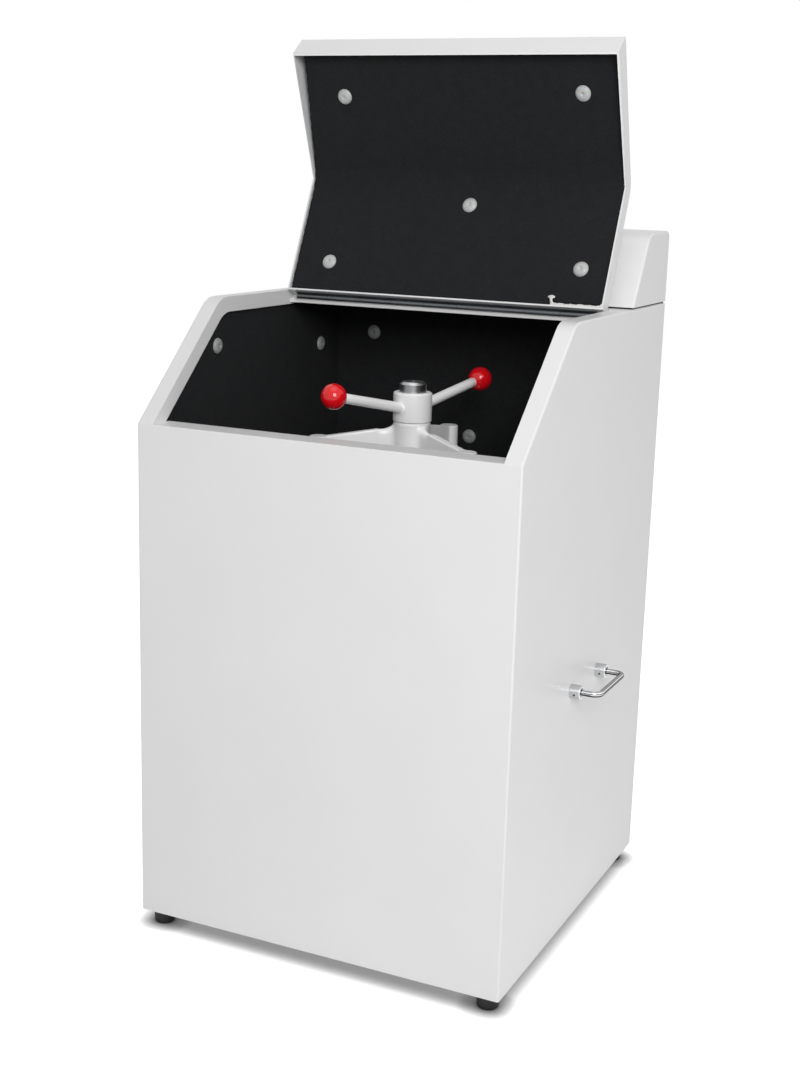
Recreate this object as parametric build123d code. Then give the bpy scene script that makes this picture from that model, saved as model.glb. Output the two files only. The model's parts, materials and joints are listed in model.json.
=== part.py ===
from build123d import *
import os
from math import atan2, cos, degrees, hypot, radians, sin, tan

# Laboratory sample grinder: a free-standing sealed cabinet with a sloped front lid.
# Inside, three grinding bowls sit on a sprung vibrating platform and one three-armed
# press, screwed down by a lever nut, holds their covers shut.
# The shapes are drawn with x = 0 in the middle, y = 0 on the front face and z = 0 at
# the lower edge of the cabinet. Each node is then moved so that the origin lies on the
# floor, under the middle of the whole machine.

# Cabinet
width = 560.0
depth = 574.0
front_height = 716.0
deck_height = 876.0
slope_run = 174.0
sheet = 1.5
bend_radius = 42.0
fold_radius = 3.0
bottom_flange = 42.0
glue_gap = 0.2
joint_gap = 0.3

# Lid bay: the recess in the sloped top that takes the lid
bay_margin = 25.0
bay_rear = 384.5
recess_depth = 21.5
recess_bend_radius = 40.0
ledge_width = 40.0
ledge_lip = 15.0
hinge_ledge_drop = 13.0
hinge_wall_drop = 5.8

# Lid, drawn closed and turned open at the end
lid_side_gap = 3.4
lid_sheet = 1.2
lid_front_setback = 23.9
lid_flange = 23.0
lid_front_fold = 34.0
lid_open_angle = 114.6
lid_rest_gap = 0.6
lid_foam = 18.0
lid_foam_sweep = 55.0
lid_foam_margin = 2.0

# Lid hinge
hinge_inset = 14.0
hinge_sink = 8.2
knuckle_radius = 4.0
hinge_pin_radius = 1.92
pin_clearance = 0.08
leaf_sheet = 1.5
leaf_gap = 0.5
hinge_end_gap = 15.0
knuckle_count = 9
knuckle_gap = 0.6
leaf_drop = 10.0

# Foam lining and its push-in buttons
side_foam = 18.0
rear_foam = 30.0
rear_foam_bottom = 345.0
foam_button_radius = 11.5
foam_button_crown = 7.5
foam_button_height = 5.0
lid_button_places = [(-193.0, 50.0), (207.0, 60.0), (17.0, 150.0)]
lid_upper_button_places = [(-181.0, 125.0), (193.0, 132.0)]
# Each place on a wall is a distance along it and a distance below the deck.
side_button_places = [(172.0, 69.0), (172.0, 396.0)]
side_button_rear_places = [(90.0, 92.0), (90.0, 396.0)]
rear_button_places = [(-193.0, 74.0), (193.0, 74.0), (-19.0, 229.0)]

# Control housing across the back of the deck
housing_setback = 28.5
housing_height = 104.5
housing_crown = 3.0
housing_lean = 63.5
housing_front_radius = 30.0
housing_rear_radius = 12.0
gasket_height = 2.5
gasket_inset = 3.0
gasket_width = 10.0

# Controls on the sloped face of the housing
controls_up_face = 50.0
timer_x = -110.0
lamp_x = -35.0
start_x = 40.0
stop_x = 110.0
timer_bezel = 54.0
timer_body = 45.0
timer_bezel_height = 6.0
timer_bezel_chamfer = 2.0
timer_body_depth = 40.0
timer_knob_radius = 15.0
timer_knob_height = 14.0
timer_knob_skirt = 4.0
timer_grip_root = 11.25
timer_grip_tip = 9.75
timer_pointer = 2.0
panel_hole_radius = 11.2
button_bezel_radius = 14.5
button_bezel_height = 5.0
button_thread_radius = 11.0
button_thread_length = 28.0
button_radius = 9.5
button_proud = 4.5
button_travel = 4.0
button_collar_chamfer = 1.5
button_cap_chamfer = 1.0
lamp_bezel_height = 4.0
lamp_lens_radius = 9.5
lamp_lens_rim = 1.0
lamp_lens_dome = 7.0
button_clearance = 0.4

# Rear cover, cable gland and feet
cover_width = 420.0
cover_height = 250.0
cover_middle = 185.0
cover_overlap = 12.0
cover_corner = 8.0
cover_screw_radius = 4.5
cover_screw_head = 3.0
louvre_width = 130.0
louvre_slot = 7.0
louvre_pitch = 24.0
louvre_rows = 7
louvre_columns = 2
louvre_column_pitch = 175.5
louvre_reach = 7.0
gland_radius = 11.0
gland_reach = 18.0
gland_x = -220.0
gland_z = 36.0
gland_bore = 5.0
gland_collar = 6.3
gland_nut_radius = 8.8
gland_hole_radius = 7.7
foot_height = 22.0
foot_radius = 15.0
foot_sole_radius = 13.0
foot_round = 3.0
foot_inset = 24.0
base_sheet = 8.0
base_vent_radius = 70.0

# Carrying handles on both sides
handle_bar = 8.0
handle_spacing = 110.0
handle_reach = 45.0
handle_height = 363.0
handle_y = 282.7
handle_bend = 12.0
ferrule_radius = 10.0
ferrule_length = 16.0
ferrule_clearance = 0.1

# Sprung platform, its stand and springs
axis_offset = 1.0
platform_radius = 215.0
platform_below_deck = 340.0
platform_sheet = 16.0
platform_rim = 12.0
platform_rim_drop = 14.0
motor_seat_radius = 112.0
post_boss_radius = 40.0
post_boss_height = 24.0
spring_circle = 172.0
spring_count = 4
spring_height = 90.0
spring_mean_radius = 24.0
spring_wire = 8.0
spring_turns = 4.0
spring_stub = 12.0
spring_stub_radius = 17.0
stand_inner_radius = 140.0
stand_sheet = 10.0
stand_leg = 40.0

# Press: post, spider, nut, levers and knobs
post_radius = 19.25
post_above_nut = 15.2
post_chamfer = 3.8
post_collar_radius = 30.0
post_collar_height = 6.0
nut_radius = 28.0
nut_height = 42.0
nut_round = 3.0
nut_gap = 0.4
thread_clearance = 0.2
spider_boss_radius = 27.0
spider_boss_height = 68.0
spider_reach = 134.0
spider_foot_radius = 14.0
spider_foot_height = 45.0
spider_web = 13.0
spider_neck_drop = 6.0
spider_shoulder = 9.0
spider_shoulder_drop = 10.0
spider_shoulder_radius = 12.0
spider_toe_lift = 8.0
spider_belly_radius = 75.0
spider_angles = [90.0, 210.0, 330.0]
pad_radius = 23.0
pad_height = 8.0
lever_angles = {"front": 251.5, "rear": 75.0}
lever_rise = 11.5
lever_above_nut_bottom = 15.9
lever_reach = 157.0
lever_root_radius = 7.4
lever_tip_radius = 7.1
lever_spigot = 5.0
lever_spigot_length = 9.0
spigot_clearance = 0.1
knob_radius = 18.0
knob_flat = 1.2

# Grinding bowls
bowl_radius = 75.0
bowl_wall = 14.0
bowl_floor = 14.0
bowl_height = 74.0
bowl_cover_height = 21.7
bowl_socket_gap = 1.5
socket_wall = 6.0
socket_height = 10.0
cover_lip = 6.0
bowl_cover_gap = 1.0
seal_width = 4.0
seal_height = 2.0
seal_squeeze = 0.1
grinding_height = 46.0
grinding_ring_radius = 52.0
grinding_ring_wall = 12.0
grinding_puck_radius = 31.0

# Vibration motor under the platform
motor_radius = 88.0
motor_wall = 14.0
motor_length = 170.0
motor_flange_radius = 108.0
motor_flange_height = 10.0
shield_height = 20.0
rotor_radius = 60.0
rotor_gap = 12.0
shaft_radius = 15.0
shaft_reach = 92.0
bearing_radius = 29.0
bearing_height = 14.0
bearing_clearance = 0.05
eccentric_radius = 82.0
eccentric_height = 46.0
eccentric_hub_radius = 30.0
eccentric_gap = 20.0

# Values worked out from the ones above
slope_rise = deck_height - front_height
slope_angle = degrees(atan2(slope_rise, slope_run))
slope_cos = cos(radians(slope_angle))
slope_sin = sin(radians(slope_angle))
half_width = width / 2
bay_half = half_width - bay_margin
hinge_y = bay_rear - hinge_inset
hinge_z = deck_height - hinge_sink
hinge_wall_top = deck_height - hinge_ledge_drop
hinge_length = 2 * (bay_half - hinge_end_gap)
housing_front = bay_rear + housing_setback
gasket_top = deck_height + gasket_height
lid_slope_length = hypot(slope_run, slope_rise) - lid_front_setback
lid_half = bay_half - lid_side_gap
lid_rear = hinge_y - knuckle_radius - leaf_gap
lining_front = sheet + glue_gap + side_foam
lining_rear = depth - sheet - glue_gap - rear_foam
axis_y = (lining_front + lining_rear) / 2 + axis_offset
platform_top = deck_height - platform_below_deck
bowl_top = platform_top + bowl_height
bowl_cover_top = bowl_top + bowl_cover_height
spider_boss_bottom = bowl_cover_top + joint_gap + pad_height
spider_boss_top = spider_boss_bottom + spider_boss_height
spider_foot_top = spider_boss_bottom + spider_foot_height
nut_bottom = spider_boss_top + nut_gap
nut_top = nut_bottom + nut_height
lever_height = nut_bottom + lever_above_nut_bottom
post_top = nut_top + post_above_nut
stand_top = platform_top - platform_sheet - spring_height
motor_top = platform_top - platform_sheet
shield_top = motor_top - motor_length
machine_middle = (depth + gland_reach) / 2


def save(name, *solids):
    """Write one node, moved from the drawing's origin to the floor under the machine."""
    node = solids[0] if len(solids) == 1 else Compound(children=list(solids))
    export_step(Pos(0, -machine_middle, foot_height) * node, f"parts/{name}.step")


def rounded(points, rounds):
    """A flat face through the points, with some of its corners rounded."""
    face = make_face(Polyline(*points, close=True))
    for index, radius in rounds.items():
        corner = face.vertices().sort_by_distance(Vector(*points[index]))[0]
        face = fillet(corner, radius)
    return face


def across(side_face, x_from, x_to):
    """Stretch a face drawn in (y, z) across the machine, from one x to another."""
    return extrude(Plane.YZ.offset(x_from) * side_face, amount=x_to - x_from, dir=(1, 0, 0))


def block(x_range, y_range, z_range):
    size = [high - low for low, high in (x_range, y_range, z_range)]
    middle = [(high + low) / 2 for low, high in (x_range, y_range, z_range)]
    return Pos(*middle) * Box(*size)


def upright(radius, z_from, z_to, x=0.0, y=axis_y):
    return Pos(x, y, (z_from + z_to) / 2) * Cylinder(radius, z_to - z_from)


def tube(outer, inner, z_from, z_to, x=0.0, y=axis_y):
    return upright(outer, z_from, z_to, x, y) - upright(inner, z_from - 1, z_to + 1, x, y)


def turned(points, x=0.0, y=axis_y):
    """A turned piece about a vertical axis, from its half section in (radius, z)."""
    section = Plane.XZ * make_face(Polyline(*points, close=True))
    return Pos(x, y, 0) * revolve(section, Axis.Z)


def around(angle, radius):
    """The point at a plan angle and radius from the machine's vertical axis."""
    return radius * cos(radians(angle)), axis_y + radius * sin(radians(angle))


def meet(corner, first_normal, first_inset, second_normal, second_inset):
    """Where two walls through a corner cross once each is moved along its normal."""
    first, second = Vector(*first_normal), Vector(*second_normal)
    share = first.dot(second)
    moved = (first * (first_inset - second_inset * share)
             + second * (second_inset - first_inset * share)) * (1 / (1 - share * share))
    return corner[0] + moved.X, corner[1] + moved.Y


# Cabinet

def side_points(inset):
    """The cabinet seen from the side, pulled in by inset all round."""
    brow = front_height + inset * (slope_sin - 1) / slope_cos
    knee = (inset + (slope_rise - inset) * slope_cos) / slope_sin
    top = deck_height - inset
    return [(inset, inset), (inset, brow), (knee, top), (depth - inset, top), (depth - inset, inset)]


def folded_box(inset):
    """The outside of the folded cabinet, or its inside once inset by the sheet."""
    radius = fold_radius - inset
    half = half_width - inset
    rounds = {1: fold_radius - inset, 2: bend_radius - inset}
    box = across(rounded(side_points(inset), rounds), -half, half)
    edges = box.faces().filter_by(Axis.X).edges().filter_by(lambda edge: edge.center().Z > inset + 1)
    return fillet(edges, radius)


def recess_wall():
    """The upright wall beside the lid, as deep as the recess all along the slope."""
    outer = rounded(side_points(0), {2: bend_radius})
    inner = rounded(side_points(recess_depth), {2: recess_bend_radius})
    wall = across(outer - inner, bay_half, bay_half + sheet)
    return wall & block((0, width), (sheet, bay_rear + sheet), (front_height - sheet, deck_height))


def cabinet_shell():
    shell = folded_box(0) - folded_box(sheet)
    shell -= block((-bay_half, bay_half), (-1, bay_rear), (front_height, deck_height + 1))
    shell -= block((-half_width + bottom_flange, half_width - bottom_flange),
                   (bottom_flange, depth - bottom_flange), (-1, sheet + 1))
    window_half = cover_width / 2 - cover_overlap
    shell -= block((-window_half, window_half), (depth - 2 * sheet, depth + 1),
                   (cover_middle - cover_height / 2 + cover_overlap,
                    cover_middle + cover_height / 2 - cover_overlap))
    shell -= Pos(gland_x, depth, gland_z) * Rot(90, 0, 0) * Cylinder(gland_hole_radius, 4 * sheet)
    half = bay_half + sheet
    ledge = block((-half, half), (sheet / 2, ledge_width), (front_height - sheet, front_height))
    ledge += block((-half, half), (ledge_width - sheet, ledge_width),
                   (front_height - ledge_lip, front_height))
    wall_face = hinge_y + knuckle_radius
    step = block((-half, half), (bay_rear, bay_rear + sheet), (hinge_wall_top - sheet, deck_height))
    step += block((-half, half), (wall_face, bay_rear + sheet), (hinge_wall_top - sheet, hinge_wall_top))
    step += block((-half, half), (wall_face, wall_face + sheet),
                  (hinge_wall_top - hinge_wall_drop, hinge_wall_top))
    right_wall = recess_wall()
    return shell + ledge + step + right_wall + mirror(right_wall, Plane.YZ)


def base_plate():
    inset = sheet + joint_gap
    plate = block((-half_width + inset, half_width - inset), (inset, depth - inset),
                  (sheet, sheet + base_sheet))
    plate = fillet(plate.edges().filter_by(Axis.Z), fold_radius)
    return plate - upright(base_vent_radius, 0, 2 * base_sheet)


def foot(x, y):
    """A turned rubber foot with a rounded sole."""
    blank = turned([(0, 0), (foot_radius, 0), (foot_sole_radius, -foot_height), (0, -foot_height)], x, y)
    return fillet(blank.edges().group_by(Axis.Z)[0], foot_round)


def rear_cover():
    """Service cover with rows of pressed louvres that shed dust downwards."""
    low, high = cover_middle - cover_height / 2, cover_middle + cover_height / 2
    cover = block((-cover_width / 2, cover_width / 2), (depth, depth + sheet), (low, high))
    cover = fillet(cover.edges().filter_by(Axis.Y), cover_corner)
    outer = depth + sheet
    for row in range(louvre_rows):
        z = cover_middle + (row - (louvre_rows - 1) / 2) * louvre_pitch
        hood = [(outer, z + louvre_slot), (outer + louvre_reach, z), (outer + louvre_reach - sheet, z),
                (outer, z + louvre_slot - sheet)]
        cheek = [(outer, z + louvre_slot), (outer + louvre_reach, z), (outer, z)]
        for column in range(louvre_columns):
            x = (column - (louvre_columns - 1) / 2) * louvre_column_pitch
            left, right = x - louvre_width / 2, x + louvre_width / 2
            cover -= block((left + sheet, right - sheet), (depth - 1, outer + 1), (z, z + louvre_slot - sheet))
            cover += across(rounded(hood, {}), left, right)
            cover += across(rounded(cheek, {}), left, left + sheet)
            cover += across(rounded(cheek, {}), right - sheet, right)
    return cover


def cover_screws():
    screws = []
    for side in (-1, 1):
        for end in (-1, 1):
            x = side * (cover_width / 2 - cover_overlap)
            z = cover_middle + end * (cover_height / 2 - cover_overlap)
            seat = Pos(x, depth + sheet + cover_screw_head / 2, z) * Rot(90, 0, 0)
            screws.append(seat * Cylinder(cover_screw_radius, cover_screw_head))
    return screws


def cable_gland():
    """Gland for a mains lead: a body with a hexagon collar and a domed nut, bored through."""
    body = extrude(RegularPolygon(gland_radius, 6), amount=gland_collar)
    body += Cylinder(gland_nut_radius, gland_reach, align=(Align.CENTER, Align.CENTER, Align.MIN))
    body = chamfer(body.edges().group_by(Axis.Z)[-1], 2)
    body -= Cylinder(gland_bore, 3 * gland_reach)
    return Pos(gland_x, depth, gland_z) * Rot(-90, 0, 0) * body


# Lid, drawn closed

slope_down = (-slope_cos, -slope_sin)
slope_inward = (slope_sin, -slope_cos)
deck_inward = (0.0, -1.0)
lid_front = (slope_run + lid_slope_length * slope_down[0], deck_height + lid_slope_length * slope_down[1])
fold_drop = lid_front[1] - front_height - lid_rest_gap
fold_run = (lid_front_fold ** 2 - fold_drop ** 2) ** 0.5
fold_inward = (fold_drop / lid_front_fold, fold_run / lid_front_fold)


def lid_line(inset, end_inset):
    """Rear, knee and front corners of the lid's skin, pulled inwards."""
    knee = meet((slope_run, deck_height), deck_inward, inset, slope_inward, inset)
    front = meet(lid_front, slope_inward, inset, fold_inward, end_inset)
    return [(lid_rear - end_inset, deck_height - inset), knee, front]


def lid_tray(inset, reach, half):
    """The lid as a solid tray; its rim lies reach below the skin."""
    rear, knee, front = lid_line(inset, inset)
    rim_knee = meet((slope_run, deck_height), deck_inward, reach, slope_inward, reach)
    rim = lid_front_fold + reach - lid_flange
    rim_front = (front[0] + fold_run / lid_front_fold * rim, front[1] - fold_drop / lid_front_fold * rim)
    points = [rear, knee, front, rim_front, rim_knee, (rear[0], deck_height - reach)]
    return across(rounded(points, {1: bend_radius - inset}), -half, half)


def opened(piece):
    """Turn a piece of the closed lid to where it rests when open."""
    hinge_line = Axis((0, hinge_y, hinge_z), (1, 0, 0))
    return piece.rotate(hinge_line, -lid_open_angle)


def lid_shell():
    outer = lid_tray(0, lid_flange, lid_half)
    skin_edges = outer.faces().filter_by(Axis.X).edges().filter_by(
        lambda edge: (edge @ 0.5).Z > deck_height - 1 or on_slope(edge @ 0.5))
    outer = fillet(skin_edges, lid_sheet)
    return opened(outer - lid_tray(lid_sheet, 2 * lid_flange, lid_half - lid_sheet))


def on_slope(point):
    """Whether a point lies on the slope's outer plane or on the bend above it."""
    height = (point.Y * slope_sin - (point.Z - front_height) * slope_cos)
    near_bend = abs(point.Y - slope_run) < bend_radius and point.Z > deck_height - bend_radius / 2
    return abs(height) < 0.5 or near_bend


def lid_foam_sheet():
    back_inset = lid_sheet + glue_gap
    end_inset = lid_sheet + lid_foam_margin
    rear, knee, front = lid_line(back_inset, end_inset)
    face_rear, face_knee, face_front = lid_line(back_inset + lid_foam, end_inset)
    points = [rear, knee, front, face_front, face_knee, face_rear]
    half = lid_half - lid_sheet - lid_foam_margin
    profile = rounded(points, {1: bend_radius - back_inset, 4: lid_foam_sweep})
    return opened(across(profile, -half, half))


def foam_button():
    """Push-in button: a low frustum with its flat side on z = 0."""
    return Pos(0, 0, foam_button_height / 2) * Cone(foam_button_radius, foam_button_crown, foam_button_height)


def lid_buttons():
    """Buttons on both flats of the lid's foam, placed by their distance from its rim or knee."""
    depth_in = lid_sheet + glue_gap + lid_foam
    buttons = []
    for x, up in lid_button_places:
        seat = Plane((x, lid_rear - up, deck_height - depth_in), x_dir=(1, 0, 0), z_dir=(0, 0, -1))
        buttons.append(opened(seat * foam_button()))
    face_knee = meet((slope_run, deck_height), deck_inward, depth_in, slope_inward, depth_in)
    for x, up in lid_upper_button_places:
        y, z = face_knee[0] + up * slope_down[0], face_knee[1] + up * slope_down[1]
        seat = Plane((x, y, z), x_dir=(1, 0, 0), z_dir=(0, *slope_inward))
        buttons.append(opened(seat * foam_button()))
    return buttons


# Hinge

def knuckle_spans(first):
    """The x spans of every other knuckle, starting with knuckle number first."""
    pitch = hinge_length / knuckle_count
    starts = [-hinge_length / 2 + pitch * index for index in range(first, knuckle_count, 2)]
    return [(start + knuckle_gap / 2, start + pitch - knuckle_gap / 2) for start in starts]


def hinge_rod(radius, span):
    low, high = span
    return Pos((low + high) / 2, hinge_y, hinge_z) * Rot(0, 90, 0) * Cylinder(radius, high - low)


def hinge_leaf(first, y_range):
    """One leaf: a strip and its knuckles, relieved where the other leaf's knuckles turn."""
    leaf = block((-hinge_length / 2, hinge_length / 2), y_range, (hinge_z - leaf_drop, hinge_z))
    for low, high in knuckle_spans(1 - first):
        leaf -= hinge_rod(knuckle_radius + leaf_gap, (low - knuckle_gap, high + knuckle_gap))
    for span in knuckle_spans(first):
        leaf += hinge_rod(knuckle_radius, span)
    return leaf - hinge_rod(hinge_pin_radius + pin_clearance, (-hinge_length, hinge_length))


def hinge_fixed_leaf():
    face = hinge_y + knuckle_radius
    return hinge_leaf(0, (face - leaf_sheet, face))


def hinge_moving_leaf():
    return opened(hinge_leaf(1, (lid_rear, lid_rear + leaf_sheet)))


def hinge_pin():
    return hinge_rod(hinge_pin_radius, (-hinge_length / 2, hinge_length / 2))


# Foam lining

def side_foam_sheet(side):
    inset = sheet + glue_gap
    points = side_points(inset)
    floor = sheet + base_sheet + glue_gap
    points[0], points[4] = (points[0][0], floor), (points[4][0], floor)
    outer = half_width - inset
    lining = across(rounded(points, {2: bend_radius - inset}), outer - side_foam, outer)
    lining = fillet(lining.faces().sort_by(Axis.X)[-1].edges(), fold_radius)
    return lining if side > 0 else mirror(lining, Plane.YZ)


def foam_between_sides(y_range, z_range):
    half = half_width - sheet - 2 * glue_gap - side_foam
    return block((-half, half), y_range, z_range)


def front_foam_sheet():
    return foam_between_sides((lining_front - side_foam, lining_front),
                              (sheet + base_sheet + glue_gap, front_height - sheet - glue_gap))


def rear_foam_sheet():
    return foam_between_sides((lining_rear, lining_rear + rear_foam),
                              (rear_foam_bottom, deck_height - sheet - glue_gap))


def wall_buttons():
    face_x = half_width - sheet - glue_gap - side_foam
    side_places = side_button_places + [(depth - inset, drop) for inset, drop in side_button_rear_places]
    buttons = []
    for side in (-1, 1):
        for y, drop in side_places:
            seat = Plane((side * face_x, y, deck_height - drop), x_dir=(0, 1, 0), z_dir=(-side, 0, 0))
            buttons.append(seat * foam_button())
    for x, drop in rear_button_places:
        seat = Plane((x, lining_rear, deck_height - drop), x_dir=(1, 0, 0), z_dir=(0, -1, 0))
        buttons.append(seat * foam_button())
    return buttons


# Control housing

def housing_points(inset, bottom):
    """The housing seen from the side, its walls pulled in by inset."""
    top = gasket_top + housing_height - housing_crown
    lean = Vector(housing_lean, top - gasket_top).normalized()
    front_inward = (lean.Y, -lean.X)
    top_run = Vector(depth - housing_front - housing_lean, housing_crown).normalized()
    top_inward = (top_run.Y, -top_run.X)
    brow = meet((housing_front + housing_lean, top), front_inward, inset, top_inward, inset)
    crest = meet((depth, top + housing_crown), top_inward, inset, (-1.0, 0.0), inset)
    foot_y = brow[0] - (brow[1] - bottom) * lean.X / lean.Y
    return [(foot_y, bottom), brow, crest, (depth - inset, bottom)]


def control_face(x, up=controls_up_face):
    """A plane on the housing's sloped face, looking out of it."""
    foot_corner, brow = housing_points(0, gasket_top)[:2]
    rise = Vector(brow[0] - foot_corner[0], brow[1] - foot_corner[1]).normalized()
    point = (x, foot_corner[0] + up * rise.X, foot_corner[1] + up * rise.Y)
    return Plane(point, x_dir=(1, 0, 0), z_dir=(0, -rise.Y, rise.X))


def control_housing():
    outer = across(rounded(housing_points(0, gasket_top), {1: housing_front_radius, 2: housing_rear_radius}),
                   -half_width, half_width)
    ends = outer.faces().filter_by(Axis.X).edges().filter_by(lambda edge: edge.center().Z > gasket_top + 1)
    outer = fillet(ends, fold_radius)
    rounds = {1: housing_front_radius - sheet, 2: housing_rear_radius - sheet}
    half = half_width - sheet
    housing = outer - across(rounded(housing_points(sheet, gasket_top + sheet), rounds), -half, half)
    flange = gasket_inset + gasket_width
    housing -= block((-half_width + flange, half_width - flange),
                     (housing_front + flange, depth - flange), (gasket_top - 1, gasket_top + 2 * sheet))
    for x in (lamp_x, start_x, stop_x):
        housing -= control_face(x) * Cylinder(panel_hole_radius, 8 * sheet)
    window = timer_body + 2 * joint_gap
    return housing - control_face(timer_x) * Box(window, window, 8 * sheet)


def housing_gasket():
    """Rubber strip all round under the housing, set back so that a dark line shows."""
    low, high = housing_front + gasket_inset, depth - gasket_inset
    half = half_width - gasket_inset
    strip = block((-half, half), (low, high), (deck_height, gasket_top))
    inner = half - gasket_width
    return strip - block((-inner, inner), (low + gasket_width, high - gasket_width),
                         (deck_height - 1, gasket_top + 1))


def timer_unit():
    """Square timer: a bezel outside the panel and its body behind."""
    bezel = Pos(0, 0, timer_bezel_height / 2) * Box(timer_bezel, timer_bezel, timer_bezel_height)
    bezel = chamfer(bezel.edges().group_by(Axis.Z)[-1], timer_bezel_chamfer)
    body = Pos(0, 0, -timer_body_depth / 2) * Box(timer_body, timer_body, timer_body_depth)
    return control_face(timer_x) * (bezel + body)


def timer_knob():
    """Skirted knob with a raised pointer."""
    start = timer_bezel_height + joint_gap
    skirt = Pos(0, 0, start + timer_knob_skirt / 2) * Cylinder(timer_knob_radius, timer_knob_skirt)
    grip = Pos(0, 0, start + timer_knob_height / 2) * Cone(timer_grip_root, timer_grip_tip, timer_knob_height)
    pointer = Pos(0, timer_knob_radius / 2, start + timer_knob_height) * Box(
        timer_pointer, timer_knob_radius - timer_pointer, timer_pointer)
    return control_face(timer_x) * (skirt + grip + pointer)


def button_bezel(x):
    """Collar and threaded barrel of a push button, bored for its cap."""
    collar = Pos(0, 0, button_bezel_height / 2) * Cylinder(button_bezel_radius, button_bezel_height)
    collar = chamfer(collar.edges().group_by(Axis.Z)[-1], button_collar_chamfer)
    barrel = Pos(0, 0, -button_thread_length / 2) * Cylinder(button_thread_radius, button_thread_length)
    bore_depth = button_travel + button_bezel_height
    bore = Pos(0, 0, button_bezel_height) * Cylinder(
        button_radius + button_clearance, 2 * (bore_depth + button_travel))
    return control_face(x) * (collar + barrel - bore)


def button_cap(x):
    """A flat-topped cap that stands proud of its collar and slides down into it."""
    top = button_bezel_height + button_proud
    cap = Pos(0, 0, top / 2) * Cylinder(button_radius, top)
    return control_face(x) * chamfer(cap.edges().group_by(Axis.Z)[-1], button_cap_chamfer)


def power_lamp():
    """Indicator lamp: a bezel with a low domed lens, and its barrel behind."""
    rim = lamp_bezel_height + lamp_lens_rim
    dome = TangentArc((0, rim + lamp_lens_dome), (lamp_lens_radius, rim), tangent=(1, 0))
    rest = Polyline((0, rim + lamp_lens_dome), (0, -button_thread_length),
                    (button_thread_radius, -button_thread_length), (button_thread_radius, 0),
                    (button_bezel_radius, 0), (button_bezel_radius, lamp_bezel_height),
                    (lamp_lens_radius, lamp_bezel_height), (lamp_lens_radius, rim))
    lamp = revolve(Plane.XZ * make_face(dome + rest), Axis.Z)
    return control_face(lamp_x) * lamp


# Carrying handles

def handle_bar_shape(side):
    """A round bar bent to a low U, its ends against the cabinet's side."""
    start = half_width
    end = half_width + handle_reach - handle_bar / 2
    low, high = handle_y - handle_spacing / 2, handle_y + handle_spacing / 2
    path = FilletPolyline((start, low, handle_height), (end, low, handle_height),
                          (end, high, handle_height), (start, high, handle_height), radius=handle_bend)
    profile = Plane((start, low, handle_height), z_dir=(1, 0, 0)) * Circle(handle_bar / 2)
    bar = sweep(profile, path=path)
    return bar if side > 0 else mirror(bar, Plane.YZ)


def handle_ferrules(side):
    ferrules = []
    for end in (-1, 1):
        y = handle_y + end * handle_spacing / 2
        ferrule = Cylinder(ferrule_radius, ferrule_length, align=(Align.CENTER, Align.CENTER, Align.MIN))
        ferrule = chamfer(ferrule.edges().group_by(Axis.Z)[-1], 1)
        ferrule -= Cylinder(handle_bar / 2 + ferrule_clearance, 3 * ferrule_length)
        seat = Plane((side * half_width, y, handle_height), x_dir=(0, 1, 0), z_dir=(side, 0, 0))
        ferrules.append(seat * ferrule)
    return ferrules


# Stand, springs and platform

spring_places = [around(45 + 360 / spring_count * index, spring_circle) for index in range(spring_count)]


def spring_stand():
    """Welded stand: a ring on four square tubes, with a stub in the foot of each spring."""
    floor = sheet + base_sheet
    stand = tube(platform_radius, stand_inner_radius, stand_top - stand_sheet, stand_top)
    for x, y in spring_places:
        leg = stand_leg / 2
        stand += block((x - leg, x + leg), (y - leg, y + leg), (floor, stand_top - stand_sheet))
        stand += upright(spring_stub_radius, stand_top, stand_top + spring_stub, x, y)
    return stand


def spring(x, y):
    """A coil spring wound from round wire, between the stand and the platform."""
    rise = spring_height - spring_wire - 2 * joint_gap
    helix = Helix(pitch=rise / spring_turns, height=rise, radius=spring_mean_radius)
    wire = Plane(helix @ 0, z_dir=helix % 0) * RegularPolygon(spring_wire / 2, 6)
    coil = sweep(wire, path=helix, is_frenet=True)
    return Pos(x, y, stand_top + spring_wire / 2 + joint_gap) * coil


def bowl_places():
    return [around(angle, spider_reach) for angle in spider_angles]


def vibrating_platform():
    """Cast platform: a ribbed disc with a rim, three bowl sockets and a boss for the post."""
    underside = platform_top - platform_sheet
    platform = upright(platform_radius, underside, platform_top)
    platform += tube(platform_radius, platform_radius - platform_rim, underside - platform_rim_drop, underside)
    platform += upright(post_boss_radius, platform_top, platform_top + post_boss_height)
    socket = bowl_radius + bowl_socket_gap
    for x, y in bowl_places():
        platform += tube(socket + socket_wall, socket, platform_top, platform_top + socket_height, x, y)
    for x, y in spring_places:
        platform += upright(spring_stub_radius, underside - spring_stub, underside, x, y)
    for angle in (0, 60, 120):
        rib = block((-platform_radius + platform_rim, platform_radius - platform_rim),
                    (-socket_wall / 2, socket_wall / 2), (underside - platform_rim_drop, underside))
        rib -= Pos(0, 0, underside) * Cylinder(motor_seat_radius, 4 * platform_rim_drop)
        platform += Pos(0, axis_y, 0) * Rot(0, 0, angle) * rib
    return platform - upright(post_radius + bearing_clearance, underside - 1, post_top)


def clamp_post():
    """Screw post through the platform's boss, with a collar on the boss and a chamfered top."""
    collar_low = platform_top + post_boss_height
    collar_high = collar_low + post_collar_height
    underside = platform_top - platform_sheet
    return turned([(0, underside), (post_radius, underside), (post_radius, collar_low),
                   (post_collar_radius, collar_low), (post_collar_radius, collar_high),
                   (post_radius, collar_high), (post_radius, post_top - post_chamfer),
                   (post_radius - post_chamfer, post_top), (0, post_top)])


# Press

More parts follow.
